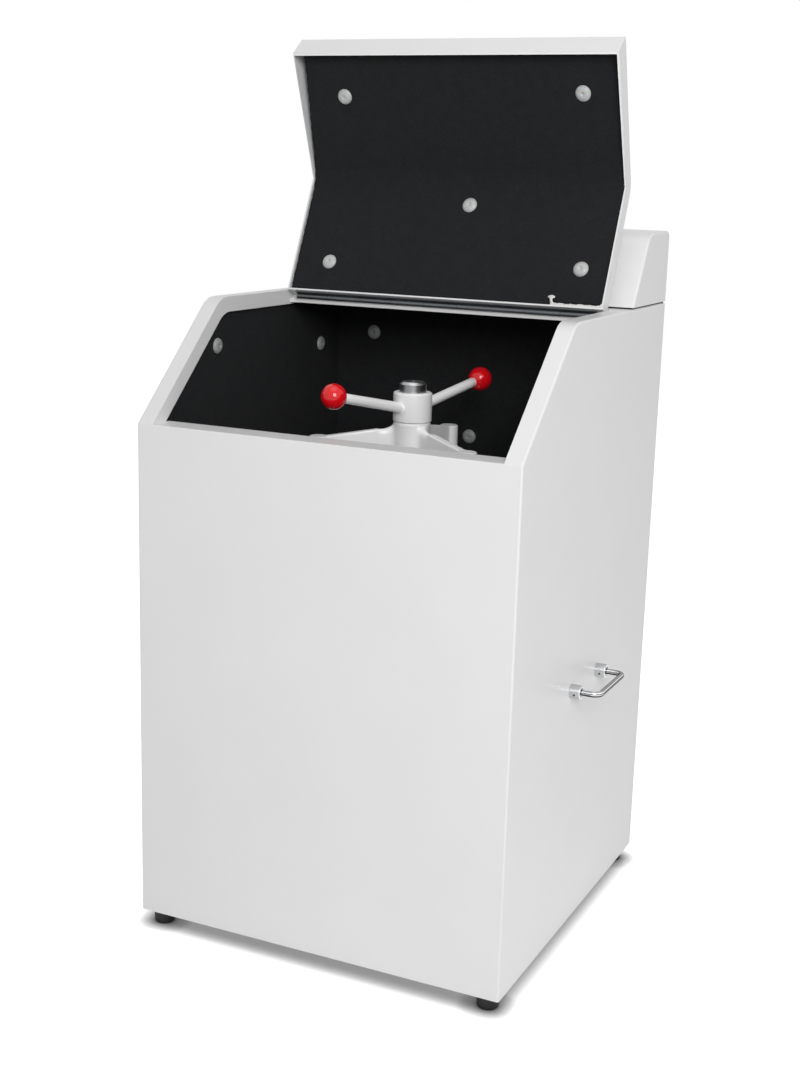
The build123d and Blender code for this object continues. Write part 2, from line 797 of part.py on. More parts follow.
def press_spider():
    """Three deep webs run from a centre boss to short round feet over the bowls."""
    boss = upright(spider_boss_radius, spider_boss_bottom, spider_boss_top)
    spider = chamfer(boss.edges().group_by(Axis.Z)[-1], 1)
    root = (post_radius + spider_boss_radius) / 2
    tip = spider_reach - spider_foot_radius / 2
    neck = spider_boss_top - spider_neck_drop
    web_points = [(root, spider_boss_bottom), (root, neck), (spider_boss_radius, neck),
                  (spider_boss_radius + spider_shoulder, spider_boss_top - spider_shoulder_drop),
                  (tip, spider_foot_top - joint_gap), (tip, spider_boss_bottom + spider_toe_lift),
                  (spider_belly_radius, spider_boss_bottom)]
    web = extrude(Plane.XZ * rounded(web_points, {3: spider_shoulder_radius}), amount=spider_web / 2, both=True)
    for angle in spider_angles:
        spider += Pos(0, axis_y, 0) * Rot(0, 0, angle) * web
    for x, y in bowl_places():
        spider += upright(spider_foot_radius, spider_boss_bottom, spider_foot_top, x, y)
    return spider - upright(post_radius + 2 * thread_clearance, spider_boss_bottom - 1, spider_boss_top + 1)


def press_pad(x, y):
    """Round pad under one foot of the spider, resting on a bowl's cover."""
    pad = upright(pad_radius, spider_boss_bottom - pad_height, spider_boss_bottom, x, y)
    return chamfer(pad.edges().group_by(Axis.Z)[-1], 2)


def lever_plane(angle, along):
    """A plane square to a lever, at a distance along it from the post's axis."""
    flat, lift = cos(radians(lever_rise)), sin(radians(lever_rise))
    outward = Vector(cos(radians(angle)) * flat, sin(radians(angle)) * flat, lift)
    return Plane(Vector(0, axis_y, lever_height) + outward * along, z_dir=outward)


def lever_stretch(radius_from, radius_to, angle, start, end):
    middle = lever_plane(angle, (start + end) / 2)
    if radius_from == radius_to:
        return middle * Cylinder(radius_from, end - start)
    return middle * Cone(radius_from, radius_to, end - start)


lever_start = nut_radius / cos(radians(lever_rise)) + lever_root_radius * tan(radians(lever_rise)) + joint_gap
knob_centre = lever_reach / cos(radians(lever_rise))
lever_end = knob_centre - knob_radius + knob_flat
lever_root = lever_start - lever_spigot_length - joint_gap


def clamp_nut():
    nut = upright(nut_radius, nut_bottom, nut_top)
    nut = fillet(nut.edges().group_by(Axis.Z)[-1], nut_round)
    nut = chamfer(nut.edges().group_by(Axis.Z)[0], 1)
    nut -= upright(post_radius + thread_clearance, nut_bottom - 1, nut_top + 1)
    for angle in lever_angles.values():
        hole = lever_spigot + spigot_clearance
        nut -= lever_stretch(hole, hole, angle, lever_root - joint_gap, lever_start + nut_round)
    return nut


def clamp_lever(angle):
    """A tapered rod with a spigot at each end, for the nut and for its knob."""
    lever = lever_stretch(lever_root_radius, lever_tip_radius, angle, lever_start, lever_end)
    lever += lever_stretch(lever_spigot, lever_spigot, angle, lever_root, lever_start)
    return lever + lever_stretch(lever_spigot, lever_spigot, angle, lever_end, knob_centre)


def lever_knob(angle):
    """Ball knob with a small flat and a blind bore where the lever enters."""
    ball = lever_plane(angle, knob_centre) * Sphere(knob_radius)
    ball -= lever_plane(angle, lever_end - knob_radius / 2) * Cylinder(knob_radius, knob_radius)
    bore = lever_spigot + spigot_clearance
    return ball - lever_stretch(bore, bore, angle, lever_end - 1, knob_centre + joint_gap)


# Grinding bowls

bowl_inner = bowl_radius - bowl_wall
spigot_radius = bowl_inner - bowl_cover_gap


def grinding_bowl(x, y):
    """A thick cup that stands in its socket on the platform."""
    bottom = platform_top
    cup = turned([(0, bottom), (bowl_radius - 3, bottom), (bowl_radius, bottom + 3), (bowl_radius, bowl_top),
                  (bowl_inner, bowl_top), (bowl_inner, bottom + bowl_floor), (0, bottom + bowl_floor)], x, y)
    return cup


def bowl_cover(x, y):
    """Turned cover with a shallow spigot and a groove for its seal."""
    groove = bowl_inner + bowl_wall / 2
    base = bowl_top + seal_height / 4
    low, high = groove - seal_width / 2, groove + seal_width / 2
    roof = base + seal_height
    return turned([(0, bowl_top - cover_lip), (spigot_radius, bowl_top - cover_lip), (spigot_radius, base),
                   (low - seal_squeeze, base), (low - seal_squeeze, roof), (high + seal_squeeze, roof),
                   (high + seal_squeeze, base), (bowl_radius, base), (bowl_radius, bowl_cover_top - 4),
                   (bowl_radius - 4, bowl_cover_top), (0, bowl_cover_top)], x, y)


def bowl_seal(x, y):
    groove = bowl_inner + bowl_wall / 2
    return tube(groove + seal_width / 2, groove - seal_width / 2, bowl_top,
                bowl_top + seal_height / 4 + seal_height, x, y)


def grinding_ring(x, y):
    floor = platform_top + bowl_floor
    return tube(grinding_ring_radius, grinding_ring_radius - grinding_ring_wall, floor,
                floor + grinding_height, x, y)


def grinding_puck(x, y):
    floor = platform_top + bowl_floor
    return upright(grinding_puck_radius, floor, floor + grinding_height, x, y)


# Motor

def motor_housing():
    """Motor frame with a mounting flange under the platform, open at its lower end."""
    inner = motor_radius - motor_wall
    roof = motor_top - motor_flange_height
    return turned([(0, motor_top), (motor_flange_radius, motor_top), (motor_flange_radius, roof),
                   (motor_radius, roof), (motor_radius, shield_top), (inner, shield_top),
                   (inner, roof - bearing_height), (bearing_radius + bearing_clearance, roof - bearing_height),
                   (bearing_radius + bearing_clearance, roof), (0, roof)])


def motor_end_shield():
    """Lower end shield with the seat of the lower bearing."""
    bottom = shield_top - shield_height
    seat = bottom + (shield_height - bearing_height)
    hole = bearing_radius + bearing_clearance
    return turned([(shaft_radius + 2, bottom), (motor_radius - 8, bottom), (motor_radius, bottom + 8),
                   (motor_radius, shield_top), (hole, shield_top), (hole, seat), (shaft_radius + 2, seat)])


def motor_bearings():
    """Upper and lower bearing, each as its closed outer shape with the shaft's bore."""
    inner = shaft_radius + bearing_clearance
    roof = motor_top - motor_flange_height
    return [tube(bearing_radius, inner, roof - bearing_height, roof),
            tube(bearing_radius, inner, shield_top - bearing_height, shield_top)]


def motor_rotor():
    """Shaft with its laminated core; the lower end carries the eccentric."""
    top = motor_top - motor_flange_height - joint_gap
    bottom = shield_top - shield_height - shaft_reach
    core_top = motor_top - motor_flange_height - bearing_height - rotor_gap
    core_bottom = shield_top + rotor_gap
    return turned([(0, bottom), (shaft_radius, bottom), (shaft_radius, core_bottom),
                   (rotor_radius, core_bottom), (rotor_radius, core_top), (shaft_radius, core_top),
                   (shaft_radius, top), (0, top)])


def eccentric_weight():
    """Half disc on a round hub, bored for the shaft: its lopsided mass shakes the platform."""
    top = shield_top - shield_height - eccentric_gap
    bottom = top - eccentric_height
    disc = upright(eccentric_radius, bottom, top)
    disc -= block((-eccentric_radius, eccentric_radius), (axis_y, axis_y + eccentric_radius), (bottom, top))
    weight = disc + upright(eccentric_hub_radius, bottom, top)
    return weight - upright(shaft_radius + bearing_clearance, bottom - 1, top + 1)


os.makedirs("parts", exist_ok=True)

save("cabinet_shell", cabinet_shell())
save("base_plate", base_plate())
save("rear_cover", rear_cover())
save("cover_screws", *cover_screws())
save("cable_gland", cable_gland())
for end_name, foot_y in (("front", foot_inset), ("rear", depth - foot_inset)):
    for side_name, side in (("left", -1), ("right", 1)):
        save(f"foot_{end_name}_{side_name}", foot(side * (half_width - foot_inset), foot_y))

save("lid_shell", lid_shell())
save("lid_foam", lid_foam_sheet())
save("lid_foam_buttons", *lid_buttons())
save("hinge_fixed_leaf", hinge_fixed_leaf())
save("hinge_moving_leaf", hinge_moving_leaf())
save("hinge_pin", hinge_pin())

save("foam_left", side_foam_sheet(-1))
save("foam_right", side_foam_sheet(1))
save("foam_front", front_foam_sheet())
save("foam_rear", rear_foam_sheet())
save("wall_foam_buttons", *wall_buttons())

save("control_housing", control_housing())
save("housing_gasket", housing_gasket())
save("timer_unit", timer_unit())
save("timer_knob", timer_knob())
save("power_lamp", power_lamp())
for button_name, button_x in (("start", start_x), ("stop", stop_x)):
    save(f"{button_name}_bezel", button_bezel(button_x))
    save(f"{button_name}_button", button_cap(button_x))

for side_name, side in (("left", -1), ("right", 1)):
    save(f"handle_bar_{side_name}", handle_bar_shape(side))
    save(f"handle_ferrules_{side_name}", *handle_ferrules(side))

save("spring_stand", spring_stand())
save("support_springs", *[spring(x, y) for x, y in spring_places])
save("vibrating_platform", vibrating_platform())
save("clamp_post", clamp_post())
save("press_spider", press_spider())
save("press_pads", *[press_pad(x, y) for x, y in bowl_places()])
save("clamp_nut", clamp_nut())
for end_name, lever_angle in lever_angles.items():
    save(f"clamp_lever_{end_name}", clamp_lever(lever_angle))
    save(f"lever_knob_{end_name}", lever_knob(lever_angle))

for number, (x, y) in enumerate(bowl_places(), start=1):
    save(f"grinding_bowl_{number}", grinding_bowl(x, y))
    save(f"bowl_cover_{number}", bowl_cover(x, y))
save("bowl_seals", *[bowl_seal(x, y) for x, y in bowl_places()])
save("grinding_rings", *[grinding_ring(x, y) for x, y in bowl_places()])
save("grinding_pucks", *[grinding_puck(x, y) for x, y in bowl_places()])

save("motor_housing", motor_housing())
save("motor_end_shield", motor_end_shield())
save("motor_bearings", *motor_bearings())
save("motor_rotor", motor_rotor())
save("eccentric_weight", eccentric_weight())
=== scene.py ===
# %% [markdown]
# # A laboratory sample grinder
# The real machine is a floor-standing cabinet of folded sheet metal. Its lid opens on a
# chamber lined with black foam, where a screw press with two red ball levers holds three
# grinding bowls on a shaking platform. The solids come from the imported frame, in metres,
# and this lesson gives them their finishes. Where a plain solid lacks the form that the eye
# expects, such as foam, turned steel or cast arms, it makes a finer surface instead.

# %% Load the frame
import bpy
import bmesh
import json
import numpy as np
from math import cos, pi, radians, sin
from mathutils import Matrix, Vector


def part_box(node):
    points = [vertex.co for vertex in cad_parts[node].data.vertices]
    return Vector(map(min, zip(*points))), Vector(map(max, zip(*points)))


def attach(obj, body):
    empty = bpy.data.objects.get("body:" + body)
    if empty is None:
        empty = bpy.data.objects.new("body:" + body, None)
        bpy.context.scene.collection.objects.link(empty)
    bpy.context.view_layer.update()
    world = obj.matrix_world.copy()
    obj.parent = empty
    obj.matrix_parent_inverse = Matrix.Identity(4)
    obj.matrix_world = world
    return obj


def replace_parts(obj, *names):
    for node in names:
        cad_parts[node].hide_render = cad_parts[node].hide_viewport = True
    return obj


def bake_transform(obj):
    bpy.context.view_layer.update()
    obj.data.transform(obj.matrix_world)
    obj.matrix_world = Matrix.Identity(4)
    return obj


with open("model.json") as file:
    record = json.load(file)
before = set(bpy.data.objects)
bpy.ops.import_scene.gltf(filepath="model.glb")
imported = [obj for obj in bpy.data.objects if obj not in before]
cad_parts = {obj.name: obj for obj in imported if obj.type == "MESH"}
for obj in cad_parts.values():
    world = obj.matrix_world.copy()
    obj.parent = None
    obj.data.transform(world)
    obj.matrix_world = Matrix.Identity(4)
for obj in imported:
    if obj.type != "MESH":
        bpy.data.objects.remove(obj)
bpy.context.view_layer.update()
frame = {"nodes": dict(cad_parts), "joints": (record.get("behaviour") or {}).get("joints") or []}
nodes = frame["nodes"]
MM = 0.001


def joint_named(name):
    """A joint's record from the frame: its place, axis and range."""
    return next(joint for joint in frame["joints"] if joint["name"] == name)


print("nodes in the frame:", len(nodes))

# %% [markdown]
# ## The camera
# The camera comes first, because every later choice is judged through it. Its place was
# worked out from where the cabinet's own edges fall in the picture: a long lens stands two
# metres away, to the right of the machine and a little above its deck. A camera looks along
# its own -Z axis, so the three columns of its rotation are its right, its up and the
# direction behind it.

# %% Set up the camera
CAMERA_PLACE = (0.93767, -2.04114, 1.08263)
CAMERA_TURN = radians(25.15)
CAMERA_TILT = radians(13.10)
CAMERA_ROLL = radians(1.64)
PHOTO_HEIGHT = 1067
FOCAL_PIXELS = 1564.08
SENSOR_HEIGHT = 36.0


def aimed_camera():
    """A camera from its place and three angles: turn about Z, tilt down, roll about the view."""
    view = Vector((-sin(CAMERA_TURN) * cos(CAMERA_TILT), cos(CAMERA_TURN) * cos(CAMERA_TILT),
                   -sin(CAMERA_TILT)))
    level = Vector((cos(CAMERA_TURN), sin(CAMERA_TURN), 0))
    upright = level.cross(view)
    right = level * cos(CAMERA_ROLL) + upright * sin(CAMERA_ROLL)
    up = upright * cos(CAMERA_ROLL) - level * sin(CAMERA_ROLL)
    data = bpy.data.cameras.new("camera")
    data.sensor_fit = "VERTICAL"
    data.sensor_height = SENSOR_HEIGHT
    data.lens = SENSOR_HEIGHT * FOCAL_PIXELS / PHOTO_HEIGHT
    camera = bpy.data.objects.new("camera", data)
    turned_to_view = Matrix((right, up, -view)).transposed().to_4x4()
    camera.matrix_world = Matrix.Translation(CAMERA_PLACE) @ turned_to_view
    bpy.context.scene.collection.objects.link(camera)
    return camera


bpy.context.scene.camera = aimed_camera()
bpy.context.scene.view_settings.view_transform = "Standard"
print("lens in mm:", round(bpy.context.scene.camera.data.lens, 2))

# %% [markdown]
# ## Helpers for finishes
# A finish is a small tree of shader nodes. One function adds a node, with its settings and
# with whatever feeds it, so that each finish below reads from top to bottom as a recipe.
# Colours are written as the sRGB hex values that a paint chart would give. Shaders work in
# linear light, so one more function converts them. Nearly every skin is two close shades
# mixed by a pattern, with a second pattern that dents it, so that ending is written once.

# %% Helpers for finishes
def colour(hex_code):
    """sRGB hex to linear RGBA: c / 12.92 near black, ((c + 0.055) / 1.055) ** 2.4 above."""
    shade = np.array([int(hex_code[start:start + 2], 16) for start in (1, 3, 5)]) / 255
    linear = np.where(shade <= 0.04045, shade / 12.92, ((shade + 0.055) / 1.055) ** 2.4)
    return (*linear.tolist(), 1.0)


def add(tree, kind, settings=None, inputs=None):
    """Add one node to a tree: its settings, then each input as a value or as a feeding socket."""
    node = tree.nodes.new(kind)
    for name, value in (settings or {}).items():
        setattr(node, name, value)
    for name, value in (inputs or {}).items():
        if isinstance(value, bpy.types.NodeSocket):
            tree.links.new(value, node.inputs[name])
        else:
            node.inputs[name].default_value = value
    return node


def finish(name, inputs):
    """A new material with one Principled shader; returns the material, its tree and the shader."""
    material = bpy.data.materials.new(name)
    material.use_nodes = True
    shader = material.node_tree.nodes["Principled BSDF"]
    for socket, value in inputs.items():
        shader.inputs[socket].default_value = value
    return material, material.node_tree, shader


def dress(material, *names):
    """Give CAD nodes a material, through their own material slots."""
    for name in names:
        nodes[name].data.materials.clear()
        nodes[name].data.materials.append(material)


def skin(tree, shader, shades, share, relief, strength, depth_mm):
    """Colour from two shades mixed by one pattern, bumps of a strength and depth from another."""
    tint = add(tree, "ShaderNodeMix", {"data_type": "RGBA"},
               {"Factor": share, 6: colour(shades[0]), 7: colour(shades[1])})
    tree.links.new(tint.outputs[2], shader.inputs["Base Color"])
    bump = add(tree, "ShaderNodeBump", {},
               {"Height": relief, "Strength": strength, "Distance": depth_mm * MM})
    tree.links.new(bump.outputs["Normal"], shader.inputs["Normal"])


def grained(name, shades, cloud, grain, relief, inputs):
    """A finish of soft noise: cloud is (scale, detail) and mixes the shades, grain is (size in
    mm, detail) and dents the skin, and relief is (strength, depth in mm)."""
    material, tree, shader = finish(name, inputs)
    place = add(tree, "ShaderNodeTexCoord").outputs["Object"]
    mottle = add(tree, "ShaderNodeTexNoise", {},
                 {"Vector": place, "Scale": cloud[0], "Detail": cloud[1]})
    dents = add(tree, "ShaderNodeTexNoise", {},
                {"Vector": place, "Scale": 1 / (grain[0] * MM), "Detail": grain[1]})
    skin(tree, shader, shades, mottle.outputs["Fac"], dents.outputs["Fac"], *relief)
    return material


print("middle grey in linear light:", round(colour("#808080")[0], 3))

# %% [markdown]
# ## Powder coat
# The cabinet is sprayed with polyester powder that melts in an oven. It gives an even
# off-white skin of low gloss with a faint orange-peel waviness. The real waves are a
# millimetre or so across, finer than a pixel here, so they are drawn at three millimetres
# to show at all. A much larger and very weak mottle keeps a wide panel from looking printed.

# %% Powder coat
powder = grained("polyester_powder_coat", ("#E4E4E4", "#E9E9E9"), cloud=(9.0, 3.0), grain=(3.0, 2.0),
                 relief=(0.06, 0.4), inputs={"Roughness": 0.36, "IOR": 1.5})
dress(powder, "cabinet_shell", "rear_cover", "control_housing", "lid_shell")
print("powder coat on the sheet metal")

# %% [markdown]
# ## Paint on a casting
# The press arms and the nut are castings under a thicker, glossier light grey paint. The
# sand mould leaves soft lumps of two to six millimetres that the paint rounds off, so the
# bump is coarser than on the sheet metal and the highlights are broader.

# %% Casting paint
cast_paint = grained("enamel_on_casting", ("#F3F3F3", "#FAFAFA"), cloud=(30.0, 4.0), grain=(4.0, 3.0),
                     relief=(0.18, 0.6), inputs={"Roughness": 0.34, "IOR": 1.5})
print("paint for the castings ready")

# %% [markdown]
# ## Lining foam
# The lining is open-cell polyurethane foam, dyed black. Each cell is a tiny hole that
# swallows light, so it looks dark and quite matt, with a fine pitted grain. A Voronoi
# pattern of about two millimetres gives the pits, and a little noise breaks up the grey.

# %% Lining foam
FOAM_CELL = 2.2


def lining_foam():
    """Pits where a cell's middle is far and the cloud is thick: distance times noise."""
    material, tree, shader = finish("polyurethane_foam", {"Roughness": 0.95, "Specular IOR Level": 0.25})
    place = add(tree, "ShaderNodeTexCoord").outputs["Object"]
    cells = add(tree, "ShaderNodeTexVoronoi", {}, {"Vector": place, "Scale": 1 / (FOAM_CELL * MM)})
    cloud = add(tree, "ShaderNodeTexNoise", {}, {"Vector": place, "Scale": 60.0, "Detail": 5.0})
    pits = add(tree, "ShaderNodeMath", {"operation": "MULTIPLY"},
               {0: cells.outputs["Distance"], 1: cloud.outputs["Fac"]}).outputs[0]
    skin(tree, shader, ("#17181A", "#272829"), pits, pits, 0.5, 0.8)
    return material


foam = lining_foam()
print("foam cells drawn at", FOAM_CELL, "mm")

# %% [markdown]
# ## Moulded plastics and rubber
# Natural nylon is milky, because light goes a little way in and comes out again. The ball
# knobs are thermoset plastic, polished in the mould to a deep gloss. The controls are black
# ABS with a spark-eroded grain, and the feet and gasket are moulded rubber, which is never
# quite black and never shiny. They share one recipe that differs in colour, gloss and grain.

# %% Moulded plastics and rubber
def moulded(name, low, high, grain_mm, depth_mm, inputs):
    """A moulded finish: two close shades and a fine grain of one size and depth."""
    return grained(name, (low, high), cloud=(40.0, 2.0), grain=(grain_mm, 3.0),
                   relief=(0.25, depth_mm), inputs=inputs)


nylon = moulded("natural_nylon", "#B4B6B6", "#C4C6C6", 2.0, 0.05,
                {"Roughness": 0.38, "Subsurface Weight": 0.25, "Subsurface Scale": 0.004})
knob_red = moulded("thermoset_red", "#E00E19", "#E8141F", 4.0, 0.01,
                   {"Roughness": 0.13, "Specular IOR Level": 0.45})
abs_black = moulded("abs_black", "#1B1C1D", "#222324", 0.9, 0.06, {"Roughness": 0.45})
cap_red = moulded("polycarbonate_red", "#B01218", "#BE161C", 3.0, 0.02, {"Roughness": 0.25})
cap_green = moulded("polycarbonate_green", "#0E7A3C", "#148646", 3.0, 0.02, {"Roughness": 0.25})
lens_clear = moulded("acrylic_lens", "#E6E4DA", "#EFEDE4", 3.0, 0.02,
                     {"Roughness": 0.12, "Subsurface Weight": 0.4, "Subsurface Scale": 0.006})
rubber = moulded("moulded_rubber", "#0C0C0C", "#131313", 1.5, 0.08, {"Roughness": 0.62})
nylon_black = moulded("nylon_black", "#191A1A", "#202121", 1.2, 0.05, {"Roughness": 0.5})
print("moulded finishes ready, from", nylon.name, "to", nylon_black.name)

# %% [markdown]
# ## Metals
# A metal has no colour under its surface: what differs is how it was worked. A polished bar
# mirrors the dark parts of a room as thin lines along it. This studio is white all round, so
# those reflections are painted into the bar's colour as bands over the way the surface faces.
# Turned steel carries fine rings left by the tool, drawn across the piece's own UV map, whose
# second coordinate is the distance along the profile. Zinc plate is pale and spangled, cast
# iron is dark and grainy, and the spring wire and the stand are under black oxide and enamel.

# %% Metals
def metal(name, low, high, patch_mm, inputs, depth_mm=0.05, metallic=1.0):
    """A worked metal: two shades in patches of one size, which also dent the surface."""
    material, tree, shader = finish(name, {"Metallic": metallic, **inputs})
    place = add(tree, "ShaderNodeTexCoord").outputs["Object"]
    patch = add(tree, "ShaderNodeTexNoise", {},
                {"Vector": place, "Scale": 1 / (patch_mm * MM), "Detail": 4.0}).outputs["Fac"]
    skin(tree, shader, (low, high), patch, patch, 0.2, depth_mm)
    return material


def turned_metal(name, low, high, feed_mm, inputs):
    """Turned steel: rings one tool feed apart, as a sine of the distance along the profile."""
    material, tree, shader = finish(name, {"Metallic": 1.0, **inputs})
    chart = add(tree, "ShaderNodeTexCoord").outputs["UV"]
    along = add(tree, "ShaderNodeSeparateXYZ", {}, {"Vector": chart}).outputs["Y"]
    phase = add(tree, "ShaderNodeMath", {"operation": "MULTIPLY"},
                {0: along, 1: 2 * pi / (feed_mm * MM)})
    ring = add(tree, "ShaderNodeMath", {"operation": "SINE"}, {0: phase.outputs[0]})
    haze = add(tree, "ShaderNodeTexNoise", {}, {"Vector": chart, "Scale": 160.0, "Detail": 3.0})
    skin(tree, shader, (low, high), haze.outputs["Fac"], ring.outputs[0], 0.15, 0.08)
    return material


def bar_with_painted_reflections():
    """Polished steel with painted reflections of dark walls: ten bands over the normal's height."""
    material, tree, shader = finish("stainless_with_painted_reflections", {
        "Metallic": 1.0, "Roughness": 0.08, "Specular Tint": (0.2, 0.2, 0.2, 1.0)})
    facing = add(tree, "ShaderNodeTexCoord").outputs["Normal"]
    height = add(tree, "ShaderNodeSeparateXYZ", {}, {"Vector": facing}).outputs["Z"]
    share = add(tree, "ShaderNodeMapRange", {},
                {"Value": height, "From Min": -1.0, "From Max": 1.0})
    bands = add(tree, "ShaderNodeValToRGB", {}, {"Fac": share.outputs[0]})
    # Painted reflection: dark and white shades by the normal's height stand for a dark room in the mirror.
    stops = [(0.0, "#8C8D8E"), (0.15, "#4A4C4E"), (0.34, "#2C2E31"), (0.42, "#B9BABB"),
             (0.54, "#CFD0D1"), (0.60, "#404245"), (0.67, "#4A4C4F"), (0.74, "#EDEDED"),
             (0.86, "#FFFFFF"), (0.95, "#505255")]
    for index, (place, shade) in enumerate(stops):
        stop = bands.color_ramp.elements[index] if index < 1 else bands.color_ramp.elements.new(place)
        stop.position, stop.color = place, colour(shade)
    tree.links.new(bands.outputs["Color"], shader.inputs["Base Color"])
    return material


# The handle bar's steel, with painted reflections in its colour.
painted_reflection_steel = bar_with_painted_reflections()
satin_stainless = metal("satin_stainless", "#C4C5C6", "#D2D3D4", 6.0, {"Roughness": 0.30}, 0.02)
turned_steel = turned_metal("turned_steel", "#A9AAAB", "#B8B9BA", 1.2, {"Roughness": 0.24})
post_steel = turned_metal("ground_steel", "#A6A7A8", "#B0B1B2", 1.6, {"Roughness": 0.33})
zinc = metal("zinc_plate", "#A8ABAE", "#BCBFC2", 5.0, {"Roughness": 0.34})
iron = metal("cast_iron", "#55585B", "#63666A", 3.0, {"Roughness": 0.55}, 0.25)
enamel_black = metal("black_enamel", "#1C1D1F", "#232427", 12.0, {"Roughness": 0.4}, 0.05, 0.0)
enamel_motor = metal("motor_enamel", "#4A5A66", "#54646F", 4.0, {"Roughness": 0.42}, 0.2, 0.0)
oxide_black = metal("black_oxide", "#3A3B3D", "#47494B", 4.0, {"Roughness": 0.38}, 0.04)

# The handle bars take the steel whose colour carries painted reflections.
dress(painted_reflection_steel, "handle_bar_left", "handle_bar_right")
dress(zinc, "hinge_fixed_leaf", "hinge_moving_leaf", "hinge_pin", "base_plate", "motor_bearings")
dress(enamel_black, "spring_stand")
dress(enamel_motor, "motor_housing", "motor_end_shield")
dress(iron, "vibrating_platform", "motor_rotor", "eccentric_weight")
dress(rubber, "housing_gasket")
dress(nylon_black, "cable_gland")
dress(abs_black, "timer_unit", "timer_knob", "start_bezel", "stop_bezel")
print("metals ready; finishes so far:", len(bpy.data.materials))

# %% [markdown]
# ## Helpers for surfaces
# Every new piece is a grid of points worked out as whole numpy arrays. A turned piece is a
# profile carried round an axis, a foam board is a grid with a thickness, and a wire is a
# circle carried along a path. The grid's neighbours become quads, and its poles and seams
# are merged so that each piece is one closed skin with its faces outwards.

# %% Helpers for surfaces
def piece(name, points, faces, material, chart=None, sharp=35):
    """Make one closed mesh from points and quads, shaded smooth up to an angle between faces."""
    mesh = bpy.data.meshes.new(name)
    mesh.from_pydata(points.reshape(-1, 3), [], faces.reshape(-1, faces.shape[-1]))
    if chart is not None:
        corner = np.empty(len(mesh.loops), dtype=np.int32)
        mesh.loops.foreach_get("vertex_index", corner)
        mesh.uv_layers.new(name="chart").uv.foreach_set("vector", chart.reshape(-1, 2)[corner].ravel())
    work = bmesh.new()
    work.from_mesh(mesh)
    bmesh.ops.remove_doubles(work, verts=work.verts, dist=1e-6)
    bmesh.ops.recalc_face_normals(work, faces=work.faces)
    work.to_mesh(mesh)
    work.free()
    mesh.shade_smooth()
    mesh.set_sharp_from_angle(angle=radians(sharp))
    mesh.materials.append(material)
    thing = bpy.data.objects.new(name, mesh)
    bpy.context.scene.collection.objects.link(thing)
    return thing


def quads(rows, columns, close_rows=False, close_columns=False):
    """The quads between neighbours of a grid, as indices; a closed side wraps round."""
    row = np.arange(rows if close_rows else rows - 1)[:, None]
    column = np.arange(columns if close_columns else columns - 1)[None, :]
    below, beside = (row + 1) % rows, (column + 1) % columns
    corners = [row * columns + column, row * columns + beside,
               below * columns + beside, below * columns + column]
    return np.stack([np.broadcast_to(corner, (row.size, column.size)) for corner in corners], axis=-1)


def axes_about(direction):
    """Two unit directions square to a third."""
    third = np.array(direction, float) / np.linalg.norm(direction)
    helper = np.array((0.0, 0.0, 1.0)) if abs(third[2]) < 0.9 else np.array((1.0, 0.0, 0.0))
    first = np.cross(helper, third)
    first /= np.linalg.norm(first)
    return first, np.cross(third, first), third


def turned_grid(profile, seat, direction, steps):
    """Points seat + height * direction + radius * (cos t * first + sin t * second), and a UV chart."""
    profile = np.array(profile, float) * MM
    first, second, third = axes_about(direction)
    angle = np.linspace(0, 2 * pi, steps, endpoint=False)
    ring = np.cos(angle)[None, :, None] * first + np.sin(angle)[None, :, None] * second
    points = np.array(seat) + profile[:, 1, None, None] * third + profile[:, 0, None, None] * ring
    along = np.r_[0, np.cumsum(np.linalg.norm(np.diff(profile, axis=0), axis=1))]
    chart = np.stack(np.broadcast_arrays(angle[None, :] / (2 * pi), along[:, None]), axis=-1)
    return points, chart


def turned(name, profile, seats, material, steps=64, ring=False, sharp=35):
    """One piece made of a turned shape at each seat; a ring's profile closes on itself."""
    all_points, all_faces, all_charts = [], [], []
    for seat, direction in seats:
        points, chart = turned_grid(profile, seat, direction, steps)
        faces = quads(len(profile), steps, close_rows=ring, close_columns=True)
        all_faces.append(faces.reshape(-1, 4) + sum(len(part) for part in all_points))
        all_points.append(points.reshape(-1, 3))
        all_charts.append(chart.reshape(-1, 2))
    return piece(name, np.concatenate(all_points), np.concatenate(all_faces), material,
                 np.concatenate(all_charts), sharp)


def arc(centre, radius, start, end, steps=8):
    """Points of a circular arc in (radius, height), from one angle to another in degrees."""
    angle = np.radians(np.linspace(start, end, steps))
    return [(centre[0] + radius * cos(a), centre[1] + radius * sin(a)) for a in angle]


def quads_of_each(grids):
    """The quads of a stack of closed grids of one size, each shifted by the points before it."""
    count, rows, columns = grids.shape[:3]
    one = quads(rows, columns, close_columns=True).reshape(-1, 4)
    return (one[None] + rows * columns * np.arange(count)[:, None, None]).reshape(-1, 4)


def box_of(node):
    """Lowest and highest corner of a CAD node's box."""
    return tuple(np.array(corner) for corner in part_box(node))


def merged_copy(node):
    """A free copy of a CAD node, with the doubled corners of its loose triangles merged."""
    copy = nodes[node].copy()
    copy.data = nodes[node].data.copy()
    for key in [key for key in copy.keys() if key.startswith("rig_")]:
        del copy[key]
    copy.parent = None
    bpy.context.scene.collection.objects.link(copy)
    work = bmesh.new()
    work.from_mesh(copy.data)
    bmesh.ops.remove_doubles(work, verts=work.verts, dist=1e-6)
    work.to_mesh(copy.data)
    work.free()
    return copy


